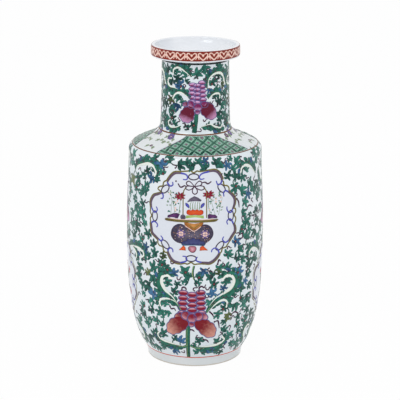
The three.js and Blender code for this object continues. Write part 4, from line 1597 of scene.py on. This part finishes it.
@dataclass
class Painting:
    """Everything that is painted on the body below the shoulder line."""

    side: Side
    rng: np.random.Generator
    front_scrolls: tuple[Scroll, ...] = (
        Scroll(((-24, 101), (-32, 112), (-42, 120), (-47.5, 130), (-46, 139), (-39, 142), (-33, 139)),
               5.6, 7.4, 9.5),
        Scroll(((-26, 103), (-32, 107), (-41, 108), (-49, 106), (-52.5, 101), (-51.5, 96)), 4.4, 3.4, 8),
        Scroll(((20, 98), (30, 110), (44, 117), (53, 122), (58, 131), (54, 139), (46, 141), (40, 137)),
               5.6, 8.2, 9.5),
        Scroll(((21, 92), (29, 100), (37, 105), (44, 105.5), (48.5, 101), (47.5, 95)), 4.6, 3.6, 8),
        Scroll(((2, 34.5), (18, 34.5), (34, 35.5), (45, 38.5), (50, 43), (46, 48)), 4.2, 6.6, 8, 0.5),
        Scroll(((-18, 35), (-32, 37), (-45, 39), (-58, 42), (-63, 48), (-59, 53)), 3.8, 5.0, 8, 0.5),
        Scroll(((-104, 280), (-98, 288), (-85, 293), (-72, 296), (-63, 293), (-59, 286), (-61, 281)),
               4.6, 4.2, 9),
        Scroll(((106, 276), (98, 284), (90, 290), (80, 293), (73, 291), (71, 286)), 4.6, 4.2, 9),
        Scroll(((-124, 166), (-108, 171), (-95, 172), (-83, 170), (-79.5, 165), (-84, 160.5)), 4.4, 3.8, 8),
        Scroll(((-114, 170), (-104, 168), (-97, 161), (-99, 154)), 4.0, 3.2, 7),
        Scroll(((118, 160), (106, 168), (96, 171), (88, 168), (87, 162)), 4.2, 3.8, 8),
    )
    stem_hooks: tuple[tuple[Point, ...], ...] = (
        ((-18, 123), (-17.5, 126.5), (-14.5, 127.5), (-12, 125), (-12.5, 122)),
        ((6, 122), (6.5, 127), (10, 129), (13, 127), (15.5, 131.5)),
        ((-36, 97), (-34, 93.5), (-30, 94.5), (-27.5, 91)), ((22, 90), (26, 86), (28, 82)),
        ((30, 74), (35, 75), (37, 70), (38.5, 63)), ((-6, 63), (-3, 62.5), (0, 60)),
        ((14, 47), (20, 45), (23, 41)),
        ((56, 80), (62, 84), (68, 82), (72, 76)), ((32, 160), (34, 166), (37, 163.5)),
        ((62.5, 249), (65.5, 244), (66.5, 236)), ((82, 231), (86, 235), (91, 234), (95, 231)),
        ((94, 219), (99, 218), (97, 212)), ((66, 192), (72, 192), (72, 198), (66, 197)),
    )

    front_leaves: tuple[tuple[float, ...], ...] = (
        (-14, 150, 0, .85, 4), (12, 151, 170, .8, 0, 1), (-8, 143, 75, .75, 3), (5, 142, -75, .75, 5),
        (-11, 134, 100, .62, 1), (1, 133, -110, .62, 2), (-29, 146, 10, .8, 0, 1), (-40, 150, 45, .85, 1),
        (-48, 157, 0, .8, 4), (-60, 150, 60, 1, 0), (-62, 134, 90, .8, 4), (-70, 141, 80, .7, 3, 2),
        (-62, 112, 100, 1, 0, 1), (-64, 98, 110, .8, 1), (-29, 119, -20, .75, 3), (-25, 131, -40, .6, 0),
        (-52, 87, 150, .9, 0), (-41, 88, 200, .7, 3), (-66, 88, 90, .8, 2), (-60, 72, 120, .8, 0),
        (-50, 66, 60, .6, 3), (-72, 68, 100, .7, 1), (-51, 51, 20, .95, 0), (-34, 45, -10, .7, 1),
        (-22, 43, 0, .9, 3, 1), (-56, 29, 90, .7, 0), (-36, 26, -100, .9, 3, 1), (7, 44, -30, .85, 0),
        (6, 26, 80, .8, 3), (14, 25, -90, .8, 5), (28, 28, -80, .8, 3, 1), (47, 58, -5, .8, 3),
        (58, 48, -40, .9, 0), (38, 25, -120, .6, 1), (49, 22, 180, .7, 0), (66, 30, -60, .8, 2),
        (34, 86, -160, .8, 0), (44, 93, -20, .8, 0), (53, 83, -170, .85, 1, 2), (45, 73, 170, .6, 3),
        (28, 131, 60, .85, 0), (25, 117, 20, .85, 0, 1), (20, 106, 160, .6, 3), (38, 116, -60, .5, 1),
        (24, 143, 70, .9, 3), (33, 146, 30, .7, 1, 2), (35, 153, -20, .75, 0), (47, 152, 0, .8, 3),
        (65, 143, -30, .95, 0, 1), (65, 127, -90, .85, 0), (62, 95, -150, .95, 3), (72, 118, -60, .8, 4),
        (73, 104, -110, .7, 1), (70, 76, -130, .7, 0), (-50, 297, -10, 1, 0, 1), (-37, 304, 40, .9, 1),
        (-22, 300, -70, .9, 3), (-11, 304, 10, .7, 0), (-3, 299, 90, .9, 3), (5, 305, -20, .75, 0),
        (14, 305, 20, .75, 0, 1), (15, 297, 60, .85, 3), (30, 303, -40, .95, 0), (37, 297, 10, .7, 3),
        (46, 297, -60, .8, 0, 1), (50, 305, -10, .6, 1), (63, 300, -30, .9, 3), (-61, 304, 20, .9, 0),
        (-47, 287, 40, .7, 3), (-65, 277, 80, .9, 0, 1), (-57, 274, 30, .7, 1), (-74, 285, 20, .75, 0),
        (-80, 276, 80, .7, 1), (-72, 264, 80, .7, 1), (-78, 257, 60, 1, 0), (-86, 253, 110, .7, 3),
        (-82, 238, 90, .75, 0), (-81, 225, 100, 1, 0), (-89, 217, 120, .8, 1), (-75, 213, 150, .7, 1),
        (-70, 198, 110, .85, 0), (-82, 187, 70, .8, 3), (-74, 177, 60, .7, 0, 1), (-100, 257, 10, .9, 0),
        (-60, 184, 60, .75, 3), (-58, 172, 70, .8, 0), (-46, 167, 20, .7, 1, 2), (-68, 164, 90, .8, 1),
        (48, 282, -20, .8, 0), (61, 280, -60, .85, 0), (57, 291, -30, .75, 3), (82, 286, -20, .7, 3),
        (73, 277, -70, .8, 0), (89, 266, -90, .95, 0), (72, 258, -60, .95, 3), (84, 252, -90, .85, 0, 1),
        (77, 242, -90, .85, 0), (73, 227, -60, .75, 3), (90, 224, 180, .55, 1), (79, 213, -60, 1, 0),
        (70, 205, -90, .85, 3), (85, 204, -100, .7, 1), (100, 195, 170, .9, 3), (84, 176, -120, .8, 0),
        (60, 188, -60, .9, 0, 1), (67, 177, -90, .8, 4), (47, 172, -40, .85, 0), (60, 165, -60, .8, 1),
        (72, 160, -70, .8, 3), (-38, 131, 20, .85, 0), (46, 132, 20, .85, 0), (41, 123, -30, .65, 0, 1),
        (-43, 100, 30, .75, 0), (37, 41, 10, .7, 4), (-48, 79, 60, .65, 1), (-83, 121, 90, .85, 0),
        (-80, 105, 90, .6, 1), (-85, 89, 80, .75, 3), (-80, 62, 100, .85, 0), (-70, 46, 60, .9, 0),
        (82, 137, -60, .8, 1), (79, 127, -90, .65, 0, 1), (88, 119, -90, .8, 3), (79, 92, -120, .85, 0),
        (70, 64, -110, .75, 3), (75, 54, -100, .7, 1), (-2, 36, 0, .55, 1),
    )
    stems: tuple[tuple[tuple[Point, ...], tuple[float, ...]], ...] = (
        (((-9.5, 72), (-10.7, 45), (-11, 15.5)), (6.2, 6.4, 6.0)),
        (((-1, 159), (-2.6, 149), (-1, 139)), (2.2, 1.8, 1.2)),
        (((-20, 92), (-24, 99), (-32, 109)), (3.0, 4.0, 4.6)),
        (((17, 89), (21, 97), (30, 107)), (3.0, 4.0, 4.6)),
        (((-7, 37), (4, 33), (18, 32)), (3.5, 4.4, 4.6)),
        (((-10, 37), (-20, 33), (-32, 34)), (3.5, 4.2, 4.0)),
    )
    branches: tuple[tuple[Point, ...], ...] = (
        ((-22, 88), (-8, 98), (2, 112), (6, 134)), ((-4, 101), (-14, 112), (-20, 128)),
        ((3, 116), (14, 120), (24, 130)), ((0, 108), (12, 104), (24, 98)),
    )
    panel_height: float = 117.0

    def build(self, workshop: Workshop) -> None:
        """Draws the panels, flowers and main scrolls, then fills between them with leaves."""
        half = math.pi * self.side.radius
        taken = Taken(2 * half)
        medallion, basket = Medallion(), FlowerBasket()
        fine, small = Brushwork("medallion"), Brushwork("basket")
        for name, along in (("front", 0.0), ("back", half)):
            fine.along = small.along = along
            frame = Brushwork(name + "_medallion_frame", along)
            medallion.draw(fine, frame)
            frame.lay(workshop, self.side, [name + "_medallion_frame"])
            basket.draw(small, self.rng)
            taken.add([(medallion.centre[0] + along, medallion.centre[1])], 66.5)
        fine.lay(workshop, self.side)
        small.lay(workshop, self.side)
        self._side_panels(workshop, medallion, taken, half)
        flowers = Brushwork("lotus")
        for along in (0.0, half):
            Lotus().draw(flowers, taken, along)
        for along in (-half / 2, half / 2):
            small_lotus(0.0, 222.0).draw(flowers, taken, along)
        leaves = LeafField("body_leaves", self.side, (21.5, 306.0), taken, self.rng)
        vines, hooks = Brushwork("body_scrolls"), Brushwork("body_curls")
        for along in (0.0, half):
            self._stems(vines, leaves, along)
            for scroll in self.front_scrolls:
                leaves.note(scroll.draw(vines, along=along), 3.4)
                taken.add(scroll.line(along=along)[::2], 3.2)
            leaves.place(self.front_leaves, along)
            for curl in self.stem_hooks:
                line = flow(shifted(curl, along=along), 1.2)
                hooks[Finish.SQUIGGLE].stroke(line, [1.4, 2.5, 2.2, 1.2], lift=0.1)
                hooks[Finish.SQUIGGLE].dot(line[0], 1.5, lift=0.1)
                taken.add(line[::3], 2.0)
        leaves.grow(vines)
        for brush in (flowers, vines, hooks):
            brush.lay(workshop, self.side)
        leaves.build(workshop)

    def _stems(self, brush: Brushwork, leaves: LeafField, along: float) -> None:
        """Draws the lotus's own stem and the vines that lead to the great scrolls."""
        for points, widths in self.stems:
            line = flow(shifted(points, along=along), 1.6)
            draw_stem(brush, line, widths, 1.1)
            brush[Finish.LIME].stroke(beside(line, -0.25 * widths[0]), [0.7, 0.9, 0.6], crown=0.08, lift=0.12)
            leaves.note(line, 2.5)

    def _side_panels(self, workshop: Workshop, medallion: Medallion, taken: Taken, half: float) -> None:
        """Draws a smaller medallion with a flower spray on each side."""
        fine, spray = Brushwork("side_panel"), Brushwork("side_spray")
        for name, along in (("left", -half / 2), ("right", half / 2)):
            spray.along, fine.along = along, along - medallion.centre[0]
            frame = Brushwork(name + "_panel_frame", fine.along)
            medallion.draw(fine, frame, self.panel_height - medallion.centre[1], scale=0.78, margin=4.6)
            frame.lay(workshop, self.side, [name + "_panel_frame"])
            self._spray(spray)
            taken.add([(along, self.panel_height)], 56.0)
        fine.lay(workshop, self.side)
        spray.lay(workshop, self.side)

    def _spray(self, brush: Brushwork) -> None:
        """Draws a flowering branch in a side panel."""
        for points in self.branches:
            line = flow(points, 2.0)
            brush[Finish.HOOK_EDGE].stroke(line, [1.8, 1.4, 0.8], lift=0.06)
            for index in range(2, len(line) - 1, 3):
                spot = line[index]
                for sign in (-1, 1):
                    way = beside(line, sign)[index] - spot + (line[index + 1] - spot) * 0.4
                    leaf = [spot, spot + way * 2.6, spot + way * 5.0]
                    brush[Finish.GREEN].stroke(leaf, [0.8, 2.6, 0.3], lift=0.08, tone=(0.1, 0.9))
            for angle in range(90, 450, 72):
                brush[Finish.TIER].dot(line[-1] + ray(angle) * 2.9, 2.5, lift=0.1, tone=(0.3, 1.0))
            brush[Finish.OCHRE].dot(line[-1], 1.5, lift=0.3)


@dataclass
class NeckPainting:
    """The three lotuses and close leaves of the neck."""

    side: Side
    rng: np.random.Generator
    span: Point = (338.0, 421.5)
    lotus: Lotus = field(default_factory=lambda: small_lotus(3.0, 374.0))
    scrolls: tuple[Scroll, ...] = (
        Scroll(((-24, 394), (-31, 396), (-39, 397), (-43, 401), (-42, 407), (-37, 408)), 4.0, 3.6, 7),
        Scroll(((-7, 380), (-13, 386), (-21, 389.5), (-29, 387), (-33, 381)), 3.6, 3.2, 6.5),
        Scroll(((17, 396), (19, 408), (25, 414), (33, 416), (41, 414), (45, 408), (48, 400)), 4.0, 3.4, 7),
        Scroll(((18, 381), (24, 386), (31, 388), (36.5, 386), (37, 381.5)), 3.4, 3.0, 6),
        Scroll(((8, 343), (20, 346), (28, 342), (37, 339.5), (40, 343)), 3.2, 3.2, 6.5),
        Scroll(((-20, 344), (-28, 341), (-37, 341), (-41, 346), (-38, 350)), 3.2, 3.0, 6),
        Scroll(((-6, 412), (-14, 419), (-24, 424), (-32, 421), (-33, 415)), 3.4, 3.0, 6),
    )

    leaves: tuple[tuple[float, ...], ...] = (
        (-27, 419, 30, .8, 0), (-14, 413, 60, .7, 1), (3, 416, 20, .9, 0), (20, 414, -40, .65, 0),
        (12, 422, -60, .85, 3), (36, 424, -20, .8, 0), (25, 403, -10, .8, 0), (31, 396, -90, .7, 1),
        (20, 394, 200, .6, 3, 1), (42, 398, -60, .7, 3, 2), (-22, 400, 20, .85, 0, 1),
        (-12, 405, -30, .5, 3), (-24, 383, 160, .7, 0), (-27, 372, 190, .8, 3, 1),
        (-37, 379, 170, .8, 0, 2), (-45, 388, 90, .8, 3), (-46, 372, 100, .8, 0), (-33, 354, 60, .8, 0),
        (-29, 345, 0, .6, 3), (-45, 350, 90, .8, 3), (-3, 345, 30, .6, 0), (-10, 340, 60, .6, 1),
        (28, 383, -20, .6, 0), (34, 376, -70, .8, 0), (42, 370, -90, .8, 3), (37, 351, -30, .8, 0),
        (46, 356, -70, .8, 4), (25, 342, -90, .6, 3), (47, 384, -80, .8, 0), (47, 343, -60, .7, 1),
        (-36, 403, 90, .8, 3), (35, 409, 60, .7, 1), (-47, 344, 90, .7, 0), (-10, 423, 40, .75, 0),
        (18, 344, -80, .6, 0),
    )

    def build(self, workshop: Workshop) -> None:
        """Draws the lotuses and main scrolls, then fills between them with leaves."""
        period = TURN * self.side.radius
        taken = Taken(period)
        flowers, vines = Brushwork("neck_lotus"), Brushwork("neck_scrolls")
        leaves = LeafField("neck_leaves", self.side, self.span, taken, self.rng, leaf_gap=5.8, leaf_size=0.86,
                           scroll_reach=15.0, throws=5000, sectors=1, tint=(-0.4, 0.15))
        for along in (-period / 3, 0.0, period / 3):
            self.lotus.draw(flowers, taken, along)
            stem = flow(shifted(((2, 366), (1, 352), (-1.5, 334.9)), along=along), 1.5)
            draw_stem(vines, stem, [4.4, 6.2], 1.0)
            leaves.note(stem, 2.4)
            leaves.place(self.leaves, along)
            for scroll in self.scrolls:
                leaves.note(scroll.draw(vines, along=along), 2.8)
                taken.add(scroll.line(along=along)[::2], 2.8)
        flowers.lay(workshop, self.side)
        vines.lay(workshop, self.side)
        leaves.build(workshop)


def clipped(shape: Array, planes: Sequence[tuple[Array, float]]) -> Array:
    """Cuts an outline by half-planes.

    Args:
        shape: The outline, with no hollows.
        planes: The normal of each half-plane, and how far along it the part that stays may reach.

    Returns:
        What is left of the outline, which may be nothing.
    """
    for normal, limit in planes:
        kept = []
        for here, after in zip(shape, np.roll(shape, -1, axis=0)):
            before, beyond = here @ normal - limit, after @ normal - limit
            if before <= 0:
                kept.append(here)
            if before * beyond < 0:
                kept.append(here + (after - here) * before / (before - beyond))
        shape = np.array(kept).reshape(-1, 2)
    return shape


@dataclass
class ShoulderPainting:
    """The sloping shoulder: three fields of green lattice between three white flower fields."""

    side: Side
    slope_sine: float = 0.885
    fields: tuple[Point, ...] = ((-109.7, 38.0), (9.8, 46.6), (133.0, 38.0))
    taper: float = 23.7
    cell: Point = (15.3, 17.6)
    shells: tuple[tuple[float, Finish, float], ...] = (
        (0.88, Finish.LATTICE, 0.3), (0.7, Finish.DEEP_GREEN, 0.8), (0.62, Finish.LATTICE, 1.0),
        (0.46, Finish.LATTICE, 0.2), (0.26, Finish.DEEP_GREEN, 0.2))
    blossoms: tuple[tuple[float, float, float, Finish], ...] = (
        (17.0, 328.2, 1.15, Finish.VIOLET), (-12.5, 329.6, 1.0, Finish.VIOLET), (-24, 328, 0.8, Finish.FRAME),
        (7, 323.5, 0.6, Finish.SPRIG), (-17, 321.5, 0.6, Finish.SPRIG), (3, 317.0, 0.6, Finish.FRAME),
        (19, 322.5, 0.5, Finish.SPRIG))

    def __post_init__(self) -> None:
        """Reads the lines that the fields lie between from the frame."""
        self.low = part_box("shoulder_line")[1].z / MM + 0.2
        self.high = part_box("neck_base_line")[0].z / MM - 0.5

    def at(self, points: Sequence[Point] | Array) -> Array:
        """Turns places on the unrolled cone, across and away from its tip, into places on the wall."""
        points = np.asarray(points, float)
        across, away = points[..., 0], points[..., 1]
        wall = self.side.line.points
        band = (wall[:, 1] > 306) & (wall[:, 1] < 336)
        heights = np.interp(-np.hypot(across, away) * self.slope_sine, -wall[band, 0], wall[band, 1])
        azimuth = np.arctan2(across, away) / self.slope_sine
        return np.stack([azimuth * self.side.radius, heights], axis=-1)

    def corner(self, azimuth: float, height: float) -> Array:
        """The place on the unrolled cone of an azimuth in degrees and a height."""
        reach = float(self.side.line.radius_at(height)) / self.slope_sine
        return reach * ray(90 - azimuth * self.slope_sine)

    def ground(self, sheet: FlatSheet, low_half: float, high_half: float, tone: Point) -> Array:
        """Draws a field's thin ground.

        Args:
            sheet: Where it is drawn.
            low_half: Half the field's turn at the shoulder line, in degrees.
            high_half: Half its turn at the neck.
            tone: Its tone at the shoulder line and at the neck.

        Returns:
            The right side of the field, from the shoulder line up, on the unrolled cone.
        """
        foot, head = self.corner(low_half, self.low), self.corner(high_half, self.high)
        shares = np.concatenate([np.linspace(0, 0.3, 10), np.linspace(0.36, 1, 10)])[:, None]
        edge = foot + (head - foot) * shares
        reach, angle = np.hypot(*edge.T), np.arctan2(*edge.T)
        turns = angle[:, None] * np.linspace(-1, 1, 40)
        rows = reach[:, None, None] * np.stack([np.sin(turns), np.cos(turns)], axis=-1)
        sheet.grid(self.at(rows), 0.05, tone)
        return edge

    def build(self, workshop: Workshop) -> None:
        """Draws the three fields of each kind."""
        lattice, flowers = Brushwork("shoulder_lattice"), Brushwork("shoulder_flowers")
        for (middle, half), (after, half_after) in zip(self.fields, self.fields[1:] + self.fields[:1]):
            gap = (after - middle) % 360
            white = middle + (gap + half - half_after) / 2
            lattice.along, flowers.along = (math.radians(turn) * self.side.radius for turn in (middle, white))
            self._lattice(lattice, half)
            self._flowers(flowers, (gap - half - half_after) / 2)
        lattice.lay(workshop, self.side)
        flowers.lay(workshop, self.side)

    def _lattice(self, brush: Brushwork, half: float) -> None:
        """Draws the nested diamonds of one lattice field, a floret in each, and the field's sides."""
        edge = self.ground(brush[Finish.DEEP_GREEN], half, half - self.taper, (0.2, 0.6))
        run = edge[-1] - edge[0]
        normal = quarter(run) / -np.linalg.norm(run)
        normal *= math.copysign(1.0, normal[0])
        beyond = float(edge[0] @ normal) - 0.4
        far, near = float(np.hypot(*edge[0])), float(np.hypot(*edge[-1]))
        wide, high = self.cell
        diamond = np.array([(0.5, 0), (0, 0.5), (-0.5, 0), (0, -0.5)]) * self.cell
        for row in range(7):
            for column in range(-6, 7):
                spot = np.array([(column + (row % 2) / 2) * wide, far - 2.0 - row * high / 2])
                outward = spot / np.linalg.norm(spot)
                planes = [(normal, beyond), (normal * [-1, 1], beyond),
                          (outward, far - 0.3), (-outward, -near - 0.3)]
                for index, (size, finish, tone) in enumerate(self.shells):
                    shape = clipped(diamond * size + spot, planes)
                    if len(shape) > 2:
                        lift = 0.09 + 0.05 * index
                        brush[finish].patch(self.at(shape), crown=0.04, lift=lift, tone=(tone, tone))
                for angle in range(0, 360, 90):
                    petal = clipped(spot + 1.5 * ray(angle) + ring(1.05, 6), planes)
                    if len(petal) > 5:
                        brush[Finish.BLOOM].patch(self.at(petal), crown=0.06, lift=0.34, tone=(0.4, 1.0))
        for flip in (-1, 1):
            brush[Finish.LINK].stroke(self.at(edge * [flip, 1]), [1.0], crown=0.12, lift=0.08)

    def _flowers(self, brush: Brushwork, half: float) -> None:
        """Draws blossoms and sprigs on one white field, a white margin away from the lattice."""
        inset = 2.6
        self.ground(brush[Finish.FIELD], half - inset, half + self.taper - inset, (0.2, 0.8))
        for azimuth, height, size, finish in self.blossoms:
            spot = self.corner(azimuth, height)
            for angle in range(0, 360, 60):
                petal = spot + 2.6 * size * ray(angle) + ring(2.3 * size, 8)
                brush[finish].patch(self.at(petal), lift=0.06, tone=(0.2, 1.1))
            brush[Finish.RESERVE].patch(self.at(spot + ring(0.8 * size, 8)), lift=0.24)
            for side in (-1, 1):
                line = flow(spot + np.array([(3.4, 1.4), (6.5, 3.4), (9.0, 2.2)]) * [side, 1], 1.6)
                brush[Finish.OLIVE].stroke(self.at(line), [0.7, 0.5], lift=0.08)
                for index in range(1, len(line) - 1, 2):
                    for flip in (-1, 1):
                        leaf = line[index] + np.array([(0, 0), (1.2, 1.2), (2.6, 2.2)]) * [side, flip]
                        brush[Finish.SPRIG].stroke(self.at(leaf), [0.6, 1.7, 0.4], lift=0.1, tone=(0, 1))


@dataclass
class RimBand:
    """The iron-red band on the lip, with a chain of ruyi heads left pale on it."""

    lip: Side
    heads: int = 25
    first: float = 2.6
    rise: float = 0.9
    proud: float = 0.3

    def build(self, workshop: Workshop) -> None:
        """Turns the red band and sets the ruyi heads round it."""
        low, high = (corner.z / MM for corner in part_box("rim_band"))
        wall = self.lip.line.cut(low, high, 8)
        swell = self.proud * np.array([0.3, 0.9, 1, 1, 1, 1, 1, 0.9, 0.3])
        outline = np.vstack([wall + np.column_stack([swell, 0 * swell]), (wall - [0.1, 0])[::-1]])
        workshop.turned("rim_band_red", outline, Finish.IRON_RED, ["rim_band"])
        self._crest(workshop)
        pitch = TURN * self.lip.radius / self.heads
        along = self.first - math.pi * self.lip.radius
        up = (low + high) / 2 + self.rise
        places = np.array([[index * pitch + along, up, 0, 1.0, 0, 0] for index in range(self.heads)])
        self.lip.set_out(workshop, "rim_ruyi_heads", [self._head(pitch)], places, Finish.RESERVE)

    def _crest(self, workshop: Workshop) -> None:
        """Turns the wash of red that runs from the band on to the lip's rounded edge."""
        radius, height = self.lip.line.points[-1]
        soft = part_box("mouth_rim")[1].z / MM - height
        middle = (radius - soft, height)
        outline = np.vstack([arc(middle, soft + self.proud * 0.6, -4, 50, 6),
                             arc(middle, soft - 0.1, 50, -4, 6)])
        workshop.turned("rim_crest_red", outline, Finish.IRON_RED)

    def _head(self, pitch: float) -> FlatSheet:
        """Draws one pale ruyi head and half of the loop on either side."""
        sheet = FlatSheet()
        curl = ((0, -5.4), (-3.4, -2.6), (-6.2, 0.6), (-6.3, 3.2), (-4.0, 4.2), (-2.2, 2.6))
        loop = ((-pitch / 2, 0.2), (-pitch / 2 + 1.5, -2.2), (-pitch / 2 + 2.4, -4.4))
        heart = ((0, -0.9), (1.9, 2.0), (1.0, 3.0), (0, 2.5), (-1.0, 3.0), (-1.9, 2.0))
        look = {"crown": 0.1, "lift": self.proud}
        for flip in (False, True):
            sheet.stroke(flow(shifted(curl, flip=flip), 1.4), [1.6, 1.9, 1.7, 1.3], **look)
            sheet.stroke(flow(shifted(loop, flip=flip), 1.2), [1.5, 1.3, 1.0], **look)
        sheet.patch(flow(heart, 1.0, closed=True), **look)
        return sheet


@dataclass(frozen=True)
class RingLine:
    """A painted line that runs right round the wall, in the place of the frame's node of its name."""

    name: str
    finish: Finish
    trim_low: float = 0.0
    trim_high: float = 0.0
    proud: float = 0.34

    def build(self, workshop: Workshop, wall: WallLine) -> None:
        """Turns the line, its edges brought in by the trims as shares of its height."""
        low, high = (corner.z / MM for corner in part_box(self.name))
        rise = high - low
        edge = wall.cut(low + self.trim_low * rise, high - self.trim_high * rise, 6)
        swell = self.proud * np.array([0.15, 0.7, 0.95, 1, 0.95, 0.7, 0.15])
        outline = np.vstack([beside(edge, -swell), beside(edge, 0.08)[::-1]])
        workshop.turned(self.name + "_ring", outline, self.finish, [self.name])


@dataclass
class Studio:
    """Pale floor, soft light and the camera at the photograph's angle."""

    distance: float = 2.19
    height: float = 0.843
    pitch: float = 15.76
    lens: float = 144.45
    shift: Point = (0.0125, 0.00125)
    roll: float = 0.2
    key: float = 19.0
    fill: float = 8.4
    floor_reach: float = 30.0
    white: tuple[float, ...] = (1.0, 1.0, 1.0, 1.0)

    def build(self) -> None:
        """Sets the world, the lamps, the floor and the camera."""
        self._world()
        self._lamp("key_light", (-1.5, -1.9, 1.9), 1.3, self.key)
        self._lamp("fill_light", (1.9, -1.3, 1.2), 1.6, self.fill)
        self._floor()
        camera = shown("camera", bpy.data.cameras.new("camera"))
        camera.data.lens = self.lens
        camera.data.sensor_width = 36.0
        camera.data.shift_x, camera.data.shift_y = self.shift
        camera.location = (0.0, -self.distance, self.height)
        camera.rotation_euler = (math.radians(90 - self.pitch), 0.0, 0.0)
        camera.rotation_euler.rotate_axis("Z", math.radians(self.roll))
        bpy.context.scene.camera = camera
        bpy.context.scene.view_settings.view_transform = "Standard"

    @staticmethod
    def _lamp(name: str, place: tuple[float, float, float], size: float, power: float) -> None:
        """Adds a soft square lamp that looks at the vase."""
        lamp = shown(name, bpy.data.lights.new(name, "AREA"))
        lamp.data.size = size
        lamp.data.energy = power
        lamp.location = place
        lamp.rotation_euler = (Vector((0, 0, 0.22)) - Vector(place)).to_track_quat("-Z", "Y").to_euler()

    @staticmethod
    def _seen(board: Board, share: float, plain: Wire, white: Wire) -> Wire:
        """Mixes in white for rays from the camera, off a gloss or through glass, by a share."""
        path = board.node("ShaderNodeLightPath")
        seen = path["Is Camera Ray"] + path["Is Glossy Ray"] + path["Is Transmission Ray"]
        return board.node("ShaderNodeMixShader", {0: seen * share, 1: plain, 2: white})[0]

    def _world(self) -> None:
        """White to the camera and in reflections, and a soft grey light elsewhere."""
        world = bpy.data.worlds.new("studio")
        bpy.context.scene.world = world
        world.use_nodes = True
        world.node_tree.nodes.clear()
        board = Board(world.node_tree)
        soft = board.node("ShaderNodeBackground", {0: (0.95, 0.97, 1.0, 1.0), 1: 0.74})[0]
        white = board.node("ShaderNodeBackground", {0: self.white, 1: 1.0})[0]
        board.node("ShaderNodeOutputWorld", {0: self._seen(board, 1.0, soft, white)})

    def _floor(self) -> None:
        """A wide pale floor that keeps a soft shadow."""
        mesh = bpy.data.meshes.new("floor")
        far = self.floor_reach
        mesh.from_pydata([(-far, -far, 0), (far, -far, 0), (far, far, 0), (-far, far, 0)], [], [(0, 1, 2, 3)])
        floor = shown("floor", mesh)
        material, board = new_material("studio_floor")
        plain = board.node("ShaderNodeBsdfDiffuse", {"Color": (0.9, 0.9, 0.9, 1.0)})[0]
        white = board.node("ShaderNodeEmission", {0: self.white, 1: 1.0})[0]
        board.node("ShaderNodeOutputMaterial", {0: self._seen(board, 0.97, plain, white)})
        mesh.materials.append(material)


def main() -> None:
    """Builds the studio and the vase, and reports each piece."""
    logging.basicConfig(level=logging.INFO, format="%(name)s: %(message)s")
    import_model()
    Studio().build()
    workshop = Workshop()
    pot = Pot()
    pot.build(workshop)
    # The ink ring at the neck's top is partly the painted line and partly painted shade: it is stretched up
    # by half its height into the shaded corner under the rim.
    for ring_line in (RingLine("neck_top_line", Finish.INK, 0, -0.5), RingLine("neck_base_line", Finish.GOLD),
                      RingLine("shoulder_line", Finish.GOLD, 0.1, 0.1), RingLine("foot_line", Finish.ORANGE)):
        ring_line.build(workshop, pot.outer)
    guides = [pot.outer.guide("wall_guide"), pot.lip.guide("lip_guide")]
    RimBand(Side(pot.lip, guides[1], 62.0)).build(workshop)
    ShoulderPainting(Side(pot.outer, guides[0], 75.0)).build(workshop)
    NeckPainting(Side(pot.outer, guides[0], 47.0), np.random.default_rng(11)).build(workshop)
    Painting(Side(pot.outer, guides[0], 96.5), np.random.default_rng(5)).build(workshop)
    for guide in guides:
        bpy.data.objects.remove(guide)
    log.info("%d pieces, %d faces", len(workshop.pieces), sum(len(p.data.polygons) for p in workshop.pieces))


if __name__ == "__main__":
    main()
